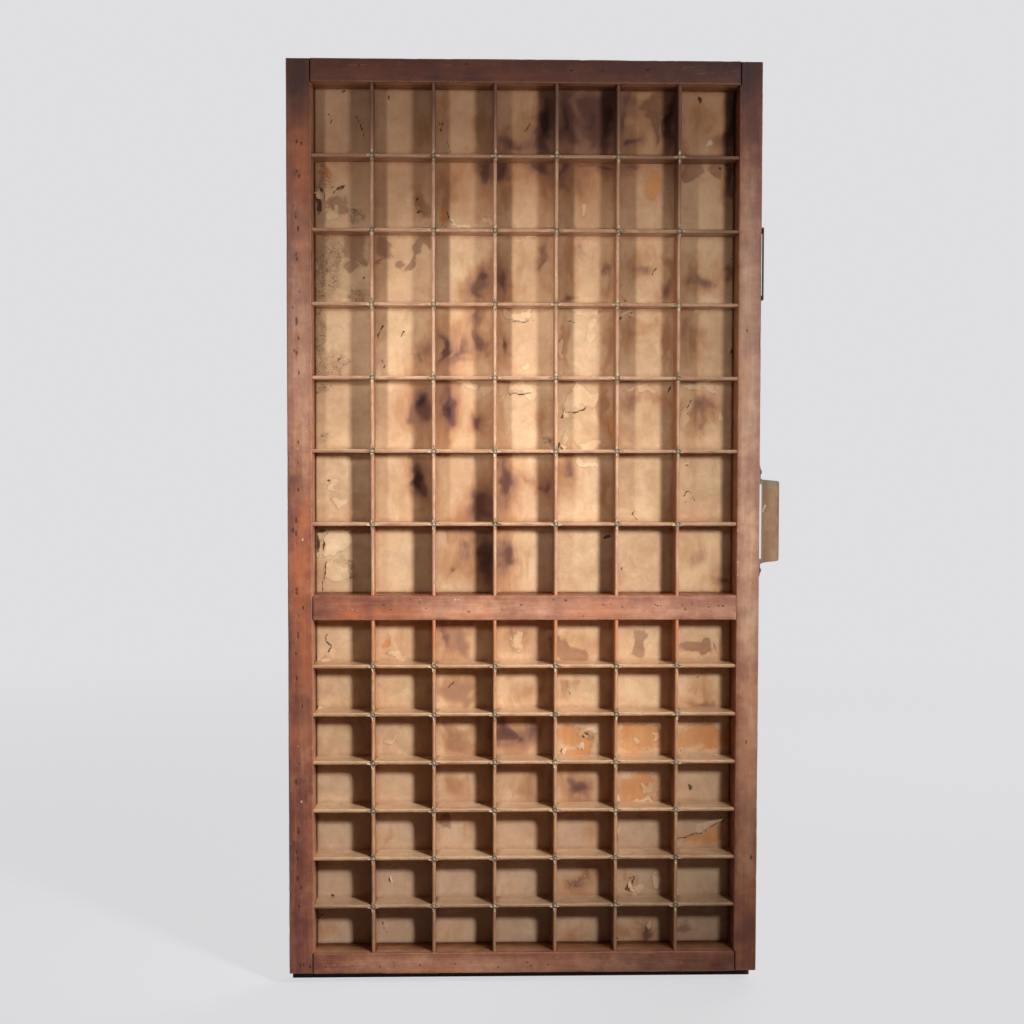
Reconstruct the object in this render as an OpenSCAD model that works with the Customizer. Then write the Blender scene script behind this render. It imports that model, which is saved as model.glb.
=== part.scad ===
// Letterpress type tray: a shallow wooden drawer with two fields of small compartments,
// standing on one of its short ends, with its open side to the front (-Y).
// The drawer's own front rail, with the pull, is on the right (+X).

/* [Case] */
// Outside width, from the back rail's outer face to the front rail's
case_w = 423; // [380:1:470]
// Outside height, over both side rails
case_h = 819; // [760:1:900]
// Depth of the rails, from the rim to the bottom board
rail_d = 28.6; // [24:0.2:36]
// Radius worn on the long edges of the rim
rim_round = 1.2; // [0.4:0.1:2.4]

/* [Rails] */
// Width of the front rail, which carries the pull
front_rail_w = 20.5; // [18:0.5:26]
// Width of the back rail
back_rail_w = 22.3; // [18:0.1:26]
// Width of the upper side rail
upper_rail_w = 21; // [17:0.5:26]
// Width of the lower side rail
lower_rail_w = 19; // [17:0.5:26]
// Width of the middle bar between the two fields
middle_bar_w = 22.3; // [16:0.1:28]
// Clear height of the lower field, from the lower side rail to the middle bar
lower_field_h = 301.8; // [270:0.2:340]
// Depth of the housings that take the side rails' ends
rail_housing = 1.5; // [1:0.1:4]
// Length of the stub tenons on the middle bar
tenon_len = 6; // [4:0.5:9]
// Thickness of the stub tenons
tenon_t = 10; // [7:0.5:12]
// Wood left in front of the stub tenons
tenon_cover = 6; // [4:0.5:9]
// Gap left round a rail's end in its housing or mortise
joint_fit = 0.1; // [0.05:0.01:0.3]

/* [Bottom board and linings] */
// Thickness of the three-ply bottom board
board_t = 6.4; // [4:0.1:9]
// How far the board stands out below the lower side rail
lower_tongue = 12.5; // [8:0.5:16]
// How far the board stands out above the upper side rail
upper_tongue = 5; // [3:0.5:16]
// How far the board's edge stays behind the front rail's outer face
board_short = 1.5; // [0.5:0.1:4]
// Thickness of the paper linings
lining_t = 0.4; // [0.2:0.1:1]
// Gap between a lining's edge and the rails
lining_gap = 0.4; // [0.2:0.1:1]

/* [Compartment strips] */
// Thickness of every upright and shelf
strip_t = 3.2; // [2.4:0.1:4.5]
// How far the strips' rounded front edges lie below the rim
strip_drop = 1.8; // [1.6:0.1:4]
// Depth of the housings that take the strips' ends
strip_housing = 2.5; // [1.5:0.1:4]
// Gap on each side of a strip in its housing or in a half lap
strip_fit = 0.12; // [0.05:0.01:0.3]

/* [Crossing clips] */
// Reach of a clip's arms from its centre
clip_reach = 6.1; // [4.4:0.1:8]
// Half the width of an arm at its end
clip_tip = 1.1; // [0.8:0.1:1.8]
// Half-diagonal of the clip's waist, measured along X
clip_waist = 1.8; // [1.6:0.1:2.5]
// Thickness of the clip's brass
clip_t = 0.6; // [0.4:0.1:0.8]
// Radius of a clip nail's round head
clip_head_r = 1.4; // [1.1:0.1:1.8]
// Height of a clip nail's round head
clip_head_h = 0.8; // [0.5:0.1:1]
// Radius of a clip nail's shank
clip_shank_r = 0.6; // [0.5:0.05:0.9]
// Length of a clip nail's shank below its head
clip_shank_len = 9; // [6:0.5:10]

/* [Pull] */
// Overall length of the pull, over both ears
pull_len = 100.6; // [96:0.2:112]
// Length of the pull's hood, between the ears
pull_body = 76; // [68:0.5:80]
// Height of the hood across the rail, from its upper edge to its lip
pull_h = 28; // [24:0.5:29]
// How far the hood stands out from the front rail
pull_out = 20; // [17:0.5:26]
// Distance from the rim to the pull's upper edge
pull_inset = 2.5; // [1:0.1:3.5]
// Thickness of the pressed sheet
sheet_t = 1.1; // [0.8:0.1:1.4]
// Daylight between the hood's upper edge and the rail
hood_gap = 1.9; // [0.5:0.1:3]
// Angle at which the hood's upper edge leaves the rail
hood_flare = 12; // [0:1:30]
// Radius of the hollow sweep from the upper edge to the flat top
hood_sweep = 10; // [6:0.5:11]
// Radius of the hood's outer edge
hood_round = 3; // [2:0.1:5]
// Radius of the hood's upper corners
hood_corner = 4.5; // [3:0.1:7]
// How much narrower the hood is at its outer edge, at each end
hood_draft = 1.6; // [0:0.1:3]
// Width of an ear, across the rail
ear_w = 12; // [11:0.5:16]
// Radius of an ear's corners
ear_round = 5.4; // [3:0.1:5.4]
// Radius of the hollow between an ear and the hood's end
ear_fillet = 2; // [1:0.1:3]
// Distance between the pull's two screws
screw_span = 89; // [87:0.5:90]
// Radius of a pull screw's round head
screw_head_r = 3.1; // [2.6:0.1:3.3]
// Height of a pull screw's round head
screw_head_h = 2.1; // [1.4:0.1:2.6]
// Radius of a pull screw's shank
screw_shank_r = 1.6; // [1.2:0.1:2]
// Length of a pull screw, from under its head
screw_len = 14; // [10:0.5:16]
// Width of the slot across a pull screw's head
screw_slot = 0.9; // [0.6:0.1:1.2]

/* [Card holder] */
// Length of the small card holder on the front rail
holder_len = 64.5; // [50:0.5:80]
// Width of the holder, across the rail
holder_w = 20; // [16:0.5:23]
// How far the holder stands out from the rail
holder_out = 2.4; // [1.8:0.1:3]
// Thickness of the holder's sheet
holder_t = 0.9; // [0.5:0.1:1.2]
// Width of the sheet left round the holder's window
holder_frame = 4.4; // [4:0.1:5.5]
// Distance from the rim to the holder's open edge
holder_inset = 2.6; // [1:0.1:4]
// Height of the holder's centre above the case's lower edge
holder_height = 640.3; // [540:0.1:700]
// Radius of a holder pin's head
pin_head_r = 1.5; // [1.1:0.1:1.8]
// Height of a holder pin's head
pin_head_h = 0.7; // [0.5:0.1:1]
// Radius of a holder pin's shank
pin_shank_r = 0.7; // [0.5:0.1:0.9]
// Length of a holder pin, from under its head
pin_len = 13; // [9:0.5:15]

/* [Nails] */
// Radius of a frame nail's shank
nail_shank_r = 1.1; // [0.8:0.1:1.4]
// Radius of a frame nail's flat head
nail_head_r = 2.2; // [1.8:0.1:2.8]
// Thickness of a frame nail's head, let in flush
nail_head_t = 1; // [0.6:0.1:1.4]
// Length of a frame nail
nail_len = 44; // [36:1:50]
// Distance from the rim to the nearer frame nail
nail_inset = 10; // [8:0.5:12]
// Distance between the two frame nails of a joint
nail_pitch = 11; // [9:0.5:12]
// Radius of a board brad's shank
brad_shank_r = 0.8; // [0.6:0.1:1.1]
// Radius of a board brad's flat head
brad_head_r = 1.7; // [1.3:0.1:2.2]
// Thickness of a board brad's head, let in flush
brad_head_t = 0.6; // [0.4:0.1:1]
// Length of a board brad
brad_len = 19; // [14:0.5:20]
// Distance from the case's ends to the first brad along a long rail
brad_inset = 30; // [26:1:40]
// Gap round every shank and head in its hole
nail_fit = 0.05; // [0.02:0.01:0.1]

/* [Hidden] */
$fn = 48;
// How far a cutting shape runs past what it cuts
eps = 0.5;

// Compartments across and up each field
columns = 7;
rows = 7;
strips = columns - 1;
// Brads along a long rail, and along a side rail or the middle bar
long_brads = 7;
cross_brads = 3;

// Corner of the case: left face, rim, lower edge, with the origin under the middle of it all
x_left = -(case_w + pull_out) / 2;
x_right = x_left + case_w;
y_rim = -(rail_d + board_t) / 2;
y_board = y_rim + rail_d;
y_back = y_board + board_t;
z_low = lower_tongue;
z_high = z_low + case_h;

// Clear opening between the rails
x_in_left = x_left + back_rail_w;
x_in_right = x_right - front_rail_w;
clear_w = x_in_right - x_in_left;
z_in_low = z_low + lower_rail_w;
z_bar_low = z_in_low + lower_field_h;
z_bar_high = z_bar_low + middle_bar_w;
z_in_high = z_high - upper_rail_w;
z_bar_mid = (z_bar_low + z_bar_high) / 2;
upper_field_h = z_in_high - z_bar_high;

// Strips: front crest, back edge and the middle plane where they halve each other
y_strip = y_rim + strip_drop;
y_strip_back = y_board - lining_t;
y_lap = (y_strip + y_strip_back) / 2;
strip_d = y_strip_back - y_strip;

// Centres of the clips' hollow sides, and their radius
clip_c = (clip_reach ^ 2 + clip_tip ^ 2 - 2 * clip_waist ^ 2)
    / (2 * (clip_reach + clip_tip - 2 * clip_waist));
clip_hollow_r = sqrt(2) * (clip_c - clip_waist);

// The pull: its middle height, the centre of the sweep and the levels across the rail,
// measured from the rim, and x measured out from the rail's face
pull_z = z_low + case_h / 2;
sweep_x = hood_gap + sheet_t + hood_sweep * cos(hood_flare);
sweep_y = pull_inset - hood_sweep * sin(hood_flare);
hood_top = sweep_y + hood_sweep;
hood_lip = pull_inset + pull_h;
ear_mid = pull_inset + ear_w / 2;

// The card holder's middle height, and its pins' distance from it
holder_z = z_low + holder_height;
pin_z = holder_len / 2 - holder_frame / 2;

// Places of the strips, counted from the left and from below
function upright_x(i) = x_in_left + i * (clear_w + strip_t) / columns - strip_t / 2;
function upper_shelf_z(i) = z_bar_high + i * (upper_field_h + strip_t) / rows - strip_t / 2;
function lower_shelf_z(i) = z_in_low + i * (lower_field_h + strip_t) / rows - strip_t / 2;

// Places of the frame nails' depths, and of the brads
function nail_y(k) = y_rim + nail_inset + k * nail_pitch;
function long_brad_z(k) = z_low + brad_inset + k * (case_h - 2 * brad_inset) / (long_brads - 1);
function cross_brad_x(k) = x_in_left + k * clear_w / (cross_brads + 1);

// Points of an arc about (cx, cy), from one angle to another
function arc(cx, cy, r, from, to, n = 10) =
    [for (i = [0:n]) let (a = from + (to - from) * i / n) [cx + r * cos(a), cy + r * sin(a)]];

// Rectangle with its four corners rounded, centred on the origin
module round_rect(w, h, r) {
    polygon(concat(
        arc(w / 2 - r, h / 2 - r, r, 0, 90),
        arc(-w / 2 + r, h / 2 - r, r, 90, 180),
        arc(-w / 2 + r, -h / 2 + r, r, 180, 270),
        arc(w / 2 - r, -h / 2 + r, r, 270, 360)));
}

// Section of a rail, w across and d deep, with both front edges worn round at y = 0
module rail_section(w, d) {
    polygon(concat(
        [[w, d], [0, d]],
        arc(rim_round, rim_round, rim_round, 180, 270),
        arc(w - rim_round, rim_round, rim_round, 270, 360)));
}

// Section of a strip, centred on x = 0, with its full-round front edge at y = 0
module strip_section() {
    r = strip_t / 2;
    translate([0, r]) circle(r);
    translate([-r, r]) square([strip_t, strip_d - r]);
}

// Turns a section drawn in X and Y so that its X runs along Z and its length along X
module along_x() {
    rotate([0, 90, 0]) mirror([1, 0, 0]) children();
}

// Nail or screw blank: point at the origin's +Z, head ending at z = 0 on a flat underside
module nail(shank_r, len, head_r, head_t, dome = false) {
    translate([0, 0, -len]) cylinder(r1 = shank_r * 0.3, r2 = shank_r, h = shank_r * 3);
    translate([0, 0, shank_r * 3 - len]) cylinder(r = shank_r, h = len - shank_r * 3);
    if (dome) {
        cap_r = (head_r ^ 2 + head_t ^ 2) / (2 * head_t);
        rotate_extrude() intersection() {
            translate([0, head_t - cap_r]) circle(cap_r);
            square([head_r, head_t]);
        }
    } else {
        cylinder(r = head_r, h = head_t);
    }
}

// Hole for such a nail, open past its head
module nail_hole(shank_r, len, head_r = 0, head_t = 0) {
    translate([0, 0, -len - nail_fit]) cylinder(r = shank_r + nail_fit, h = len + nail_fit + eps);
    if (head_r > 0)
        translate([0, 0, -nail_fit]) cylinder(r = head_r + nail_fit, h = head_t + nail_fit + eps);
}

// Frame nail joints: z heights where a long rail is nailed to what ends in it
nail_zs = [z_low + lower_rail_w / 2, z_bar_mid, z_high - upper_rail_w / 2];

// Puts its children at every frame nail, head outwards, on the left (side -1) or right (side 1)
module at_frame_nails(side) {
    x = side < 0 ? x_left + nail_head_t : x_right - nail_head_t;
    for (z = nail_zs, k = [0:1])
        translate([x, nail_y(k), z]) rotate([0, side * 90, 0]) children();
}

// Puts its children at every board brad, head at the board's back
module at_brads() {
    y = y_back - brad_head_t;
    for (x = [x_left + back_rail_w / 2, x_right - front_rail_w / 2], k = [0:long_brads - 1])
        translate([x, y, long_brad_z(k)]) rotate([-90, 0, 0]) children();
    for (z = nail_zs, k = [1:cross_brads])
        translate([cross_brad_x(k), y, z]) rotate([-90, 0, 0]) children();
}

// Puts its children at both pull screws, heads outwards
module at_pull_screws() {
    for (s = [-1, 1])
        translate([x_right + sheet_t, y_rim + ear_mid, pull_z + s * screw_span / 2])
            rotate([0, 90, 0]) children();
}

// Puts its children at both card holder pins, heads outwards
module at_holder_pins() {
    for (s = [-1, 1])
        translate([x_right + holder_out, y_rim + holder_inset + holder_w / 2, holder_z + s * pin_z])
            rotate([0, 90, 0]) children();
}

// Holes that the fasteners leave in the wood
module frame_nail_holes(side) {
    at_frame_nails(side) nail_hole(nail_shank_r, nail_len, nail_head_r, nail_head_t);
}

module brad_holes() {
    at_brads() nail_hole(brad_shank_r, brad_len, brad_head_r, brad_head_t);
}

// Housing in a long rail for a shelf's end, from the inner face at x, towards side
module shelf_housing(x, side, z) {
    depth = strip_housing + strip_fit;
    translate([side < 0 ? x - depth : x - eps, y_strip - strip_fit, z - strip_t / 2 - strip_fit])
        cube([depth + eps, rail_d, strip_t + 2 * strip_fit]);
}

// Housing in a side rail or the middle bar for an upright's end
module upright_housing(z, side, x) {
    depth = strip_housing + strip_fit;
    translate([x - strip_t / 2 - strip_fit, y_strip - strip_fit, side < 0 ? z - depth : z - eps])
        cube([strip_t + 2 * strip_fit, rail_d, depth + eps]);
}

// What is cut from a long rail's inner side: shelf housings, rebates for the side rails and
// the mortise for the middle bar's tenon
module long_rail_cuts(x, side) {
    for (i = [1:strips]) {
        shelf_housing(x, side, upper_shelf_z(i));
        shelf_housing(x, side, lower_shelf_z(i));
    }
    rebate = rail_housing + joint_fit;
    rx = side < 0 ? x - rebate : x - eps;
    translate([rx, y_rim - eps, z_low - eps])
        cube([rebate + eps, rail_d + 2 * eps, lower_rail_w + joint_fit + eps]);
    translate([rx, y_rim - eps, z_in_high - joint_fit])
        cube([rebate + eps, rail_d + 2 * eps, upper_rail_w + joint_fit + eps]);
    mortise = tenon_len + joint_fit;
    translate([side < 0 ? x - mortise : x - eps, y_rim + tenon_cover - joint_fit,
               z_bar_mid - tenon_t / 2 - joint_fit])
        cube([mortise + eps, rail_d, tenon_t + 2 * joint_fit]);
}

module front_rail() {
    color([0.46, 0.25, 0.17]) difference() {
        translate([x_in_right, y_rim, z_low])
            linear_extrude(case_h) rail_section(front_rail_w, rail_d);
        long_rail_cuts(x_in_right, 1);
        frame_nail_holes(1);
        brad_holes();
        at_pull_screws() nail_hole(screw_shank_r, screw_len);
        at_holder_pins() nail_hole(pin_shank_r, pin_len);
    }
}

module back_rail() {
    color([0.50, 0.28, 0.18]) difference() {
        translate([x_left, y_rim, z_low])
            linear_extrude(case_h) rail_section(back_rail_w, rail_d);
        long_rail_cuts(x_in_left, -1);
        frame_nail_holes(-1);
        brad_holes();
    }
}

// A side rail's blank, from housing to housing, with its lower edge at z
module side_rail_blank(z, w) {
    translate([x_in_left - rail_housing, y_rim, z])
        along_x() linear_extrude(clear_w + 2 * rail_housing) rail_section(w, rail_d);
}

module upper_side_rail() {
    color([0.36, 0.20, 0.15]) difference() {
        side_rail_blank(z_in_high, upper_rail_w);
        for (i = [1:strips]) upright_housing(z_in_high, 1, upright_x(i));
        frame_nail_holes(-1);
        frame_nail_holes(1);
        brad_holes();
    }
}

module lower_side_rail() {
    color([0.50, 0.30, 0.22]) difference() {
        side_rail_blank(z_low, lower_rail_w);
        for (i = [1:strips]) upright_housing(z_in_low, -1, upright_x(i));
        frame_nail_holes(-1);
        frame_nail_holes(1);
        brad_holes();
    }
}

module middle_bar() {
    color([0.55, 0.32, 0.22]) difference() {
        union() {
            translate([x_in_left, y_rim, z_bar_low])
                along_x() linear_extrude(clear_w) rail_section(middle_bar_w, rail_d);
            translate([x_in_left - tenon_len, y_rim + tenon_cover, z_bar_mid - tenon_t / 2])
                cube([clear_w + 2 * tenon_len, rail_d - tenon_cover, tenon_t]);
        }
        for (i = [1:strips]) {
            upright_housing(z_bar_high, -1, upright_x(i));
            upright_housing(z_bar_low, 1, upright_x(i));
        }
        frame_nail_holes(-1);
        frame_nail_holes(1);
        brad_holes();
    }
}

module bottom_board() {
    color([0.62, 0.45, 0.30]) difference() {
        translate([x_left, y_board, 0])
            cube([case_w - board_short, board_t, lower_tongue + case_h + upper_tongue]);
        brad_holes();
    }
}

// Paper glued on the board inside one field, from z to z + h
module lining(z, h) {
    color([0.84, 0.69, 0.52])
        translate([x_in_left + lining_gap, y_board - lining_t, z + lining_gap])
            cube([clear_w - 2 * lining_gap, lining_t, h - 2 * lining_gap]);
}

module upper_lining() {
    lining(z_bar_high, upper_field_h);
}

module lower_lining() {
    lining(z_in_low, lower_field_h);
}

// Upright strip from z to z + h, let into its housings, with a slot in its front half
// for each shelf in zs
module upright(i, z, h, zs) {
    slot = strip_t + 2 * strip_fit;
    color([0.80, 0.62, 0.48]) difference() {
        translate([upright_x(i), y_strip, z - strip_housing])
            linear_extrude(h + 2 * strip_housing) strip_section();
        for (sz = zs)
            translate([upright_x(i) - strip_t, y_strip - eps, sz - slot / 2])
                cube([2 * strip_t, y_lap + strip_fit - y_strip + eps, slot]);
    }
}

// Shelf strip at height z, let into its housings, with a slot in its back half for each upright
module shelf(z) {
    slot = strip_t + 2 * strip_fit;
    color([0.66, 0.46, 0.34]) difference() {
        translate([x_in_left - strip_housing, y_strip, z])
            along_x() linear_extrude(clear_w + 2 * strip_housing) strip_section();
        for (i = [1:strips]) {
            translate([upright_x(i) - slot / 2, y_lap - strip_fit, z - strip_t])
                cube([slot, strip_d, 2 * strip_t]);
            at_clip(i, z) nail_hole(clip_shank_r, clip_shank_len + clip_t);
        }
    }
}

upper_zs = [for (i = [1:strips]) upper_shelf_z(i)];
lower_zs = [for (i = [1:strips]) lower_shelf_z(i)];

module upper_upright(i) {
    upright(i, z_bar_high, upper_field_h, upper_zs);
}

module lower_upright(i) {
    upright(i, z_in_low, lower_field_h, lower_zs);
}

// Puts its children on the clip at upright i and height z, facing out of the tray
module at_clip(i, z) {
    translate([upright_x(i), y_strip - clip_t, z]) rotate([90, 0, 0]) children();
}

// Stamped cross with hollow sides, lying on the crests of both strips
module clip() {
    difference() {
        translate([0, 0, -clip_t]) linear_extrude(clip_t) difference() {
            circle(sqrt(clip_reach ^ 2 + clip_tip ^ 2));
            for (sx = [-1, 1], sy = [-1, 1])
                translate([sx * clip_c, sy * clip_c]) circle(clip_hollow_r);
        }
        nail_hole(clip_shank_r, clip_t + eps);
    }
}

module clips(zs) {
    color([0.58, 0.55, 0.44])
        for (i = [1:strips], z = zs) at_clip(i, z) clip();
}

module clip_nails(zs) {
    color([0.50, 0.49, 0.42])
        for (i = [1:strips], z = zs)
            at_clip(i, z) nail(clip_shank_r, clip_shank_len, clip_head_r, clip_head_h, dome = true);
}

// Section of the hood across the rail, solid to the rail's face
module hood_outside() {
    polygon(concat(
        [[0, pull_inset + sheet_t * sin(hood_flare)]],
        arc(sweep_x, sweep_y, hood_sweep, 180 - hood_flare, 90),
        arc(pull_out - hood_round, hood_top + hood_round, hood_round, -90, 0),
        [[pull_out, hood_lip], [0, hood_lip]]));
}

// The same section one sheet thickness further in, open to the rail and at both edges
module hood_inside() {
    r = hood_sweep + sheet_t;
    polygon(concat(
        [[-eps, pull_inset - eps], [sweep_x - r * cos(hood_flare), pull_inset - eps]],
        arc(sweep_x, sweep_y, r, 180 - hood_flare, 90),
        arc(pull_out - hood_round, hood_top + hood_round, hood_round - sheet_t, -90, 0),
        [[pull_out - sheet_t, hood_lip + eps], [-eps, hood_lip + eps]]));
}

// Plan of the hood seen from the rim, drawn in by the draft towards its rounded outer corners
module hood_plan(inset) {
    b = pull_body / 2 - inset;
    o = pull_out - inset;
    r = hood_round - inset;
    c = b - hood_draft - r;
    polygon(concat(
        [[-eps, b], [-eps, -b]],
        arc(o - r, -c, r, -90, 0),
        arc(o - r, c, r, 0, 90)));
}

// Outline of the hood seen from outside, with its upper corners rounded
module hood_outline(inset) {
    b = pull_body / 2 - inset;
    r = hood_corner - inset;
    top = pull_inset + inset;
    polygon(concat(
        [[b, hood_lip + eps], [-b, hood_lip + eps]],
        arc(-b + r, top + r, r, 180, 270),
        arc(b - r, top + r, r, 270, 360)));
}

// Body that has the given section across the rail, plan from the rim and outline from outside
module three_views() {
    intersection() {
        translate([0, 0, -pull_body]) linear_extrude(2 * pull_body) children(0);
        rotate([-90, 0, 0]) linear_extrude(hood_lip + eps) children(1);
        rotate([0, 90, 0]) translate([0, 0, -eps]) linear_extrude(pull_out + eps) children(2);
    }
}

// The hollow under the hood: its upper edge stands open between the rounded corners
module hood_hollow() {
    open = pull_body - 2 * hood_corner;
    three_views() {
        hood_inside();
        hood_plan(sheet_t);
        union() {
            hood_outline(sheet_t);
            translate([-open / 2, 0]) square([open, pull_h]);
        }
    }
}

// Both ears lie flat on the rail and run into the hood's ends through a small hollow
module ears() {
    b = pull_body / 2;
    translate([0, ear_mid, 0]) rotate([0, 90, 0])
        linear_extrude(sheet_t) round_rect(pull_len, ear_w, ear_round);
    for (s = [0, 1]) mirror([0, 0, s])
        translate([0, pull_inset + ear_fillet, 0]) rotate([-90, 0, 0])
            linear_extrude(ear_w - 2 * ear_fillet) polygon(concat(
                [[0, b - sheet_t], [0, b + ear_fillet]],
                arc(sheet_t + ear_fillet, b + ear_fillet, ear_fillet, 180, 270),
                [[sheet_t + ear_fillet, b - sheet_t]]));
}

module pull() {
    color([0.52, 0.42, 0.30]) difference() {
        translate([x_right, y_rim, pull_z]) difference() {
            union() {
                three_views() {
                    hood_outside();
                    hood_plan(0);
                    hood_outline(0);
                }
                ears();
            }
            hood_hollow();
            translate([-eps, 0, hood_corner - pull_body / 2])
                cube([hood_gap + eps, hood_lip + eps, pull_body - 2 * hood_corner]);
            translate([-eps, hood_lip, -pull_body]) cube([2 * pull_out, 2 * eps, 2 * pull_body]);
        }
        at_pull_screws() nail_hole(screw_shank_r, sheet_t + eps);
    }
}

module pull_screws() {
    color([0.42, 0.40, 0.38]) at_pull_screws() difference() {
        nail(screw_shank_r, screw_len, screw_head_r, screw_head_h, dome = true);
        translate([-screw_head_r, -screw_slot / 2, screw_head_h / 2])
            cube([2 * screw_head_r, screw_slot, screw_head_h]);
    }
}

// Folded card holder: closed at both ends and at the far edge, open to the rim for the card
module card_holder() {
    color([0.27, 0.22, 0.22]) difference() {
        translate([x_right, y_rim + holder_inset, holder_z - holder_len / 2]) difference() {
            cube([holder_out, holder_w, holder_len]);
            translate([-eps, -eps, holder_t])
                cube([holder_out - holder_t + eps, holder_w - holder_t + eps, holder_len - 2 * holder_t]);
            translate([0, holder_frame, holder_frame])
                cube([holder_out + eps, holder_w - 2 * holder_frame, holder_len - 2 * holder_frame]);
        }
        at_holder_pins() nail_hole(pin_shank_r, holder_t + eps);
    }
}

module holder_pins() {
    color([0.40, 0.36, 0.34])
        at_holder_pins() nail(pin_shank_r, pin_len, pin_head_r, pin_head_h, dome = true);
}

module frame_nails() {
    color([0.33, 0.31, 0.30]) for (side = [-1, 1])
        at_frame_nails(side) nail(nail_shank_r, nail_len, nail_head_r, nail_head_t);
}

module board_brads() {
    color([0.36, 0.34, 0.32])
        at_brads() nail(brad_shank_r, brad_len, brad_head_r, brad_head_t);
}

front_rail();
back_rail();
upper_side_rail();
lower_side_rail();
middle_bar();
bottom_board();
upper_lining();
lower_lining();
for (i = [1:strips]) {
    upper_upright(i);
    shelf(upper_shelf_z(i));
    lower_upright(i);
    shelf(lower_shelf_z(i));
}
clips(upper_zs);  // upper_clips
clips(lower_zs);  // lower_clips
clip_nails(upper_zs);  // upper_clip_nails
clip_nails(lower_zs);  // lower_clip_nails
pull();
pull_screws();
card_holder();
holder_pins();
frame_nails();
board_brads();
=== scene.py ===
import math

import bmesh
import bpy
import numpy as np
from mathutils import Matrix, Vector


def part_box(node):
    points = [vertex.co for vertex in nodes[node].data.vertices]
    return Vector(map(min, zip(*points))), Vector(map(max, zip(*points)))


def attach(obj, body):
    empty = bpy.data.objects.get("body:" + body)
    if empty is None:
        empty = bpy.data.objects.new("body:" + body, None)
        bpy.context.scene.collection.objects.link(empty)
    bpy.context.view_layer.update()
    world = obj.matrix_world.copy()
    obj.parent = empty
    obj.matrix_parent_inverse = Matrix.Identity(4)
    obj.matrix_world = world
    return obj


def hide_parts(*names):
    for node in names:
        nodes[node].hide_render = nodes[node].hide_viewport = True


# Letterpress type tray, standing on one of its short ends with its open side towards -Y.
# It is put together below in the order of the real one: rails, board, linings, strips, clips, fittings.
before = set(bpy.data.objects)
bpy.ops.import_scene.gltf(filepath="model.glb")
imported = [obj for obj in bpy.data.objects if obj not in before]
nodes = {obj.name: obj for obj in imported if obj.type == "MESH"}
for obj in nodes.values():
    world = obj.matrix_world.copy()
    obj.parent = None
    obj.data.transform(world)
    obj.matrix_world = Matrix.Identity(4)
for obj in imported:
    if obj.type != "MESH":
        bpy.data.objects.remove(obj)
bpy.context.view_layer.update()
MM = 0.001

# Rails
# Five bars of close-grained hardwood, stained red-brown: two long rails, two side rails and the bar between
# the two fields. They are planed square, housed into each other and nailed, and their rim is worn round.
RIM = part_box("front_rail")[0].y
CASE_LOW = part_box("back_rail")[0].z
PULL_LOW, PULL_HIGH = [corner.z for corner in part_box("pull")]
PULL_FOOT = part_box("pull")[0].x - 1 * MM
ACROSS, DEPTH, UP = 0, 1, 2
SAME_POINT = 1e-6


def srgb(red, green, blue):
    """Linear colour of a tint given as it looks, in steps of 1/255."""
    parts = np.array([red, green, blue]) / 255
    linear = np.where(parts <= 0.04045, parts / 12.92, ((parts + 0.055) / 1.055) ** 2.4)
    return (*map(float, linear), 1.0)


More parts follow.
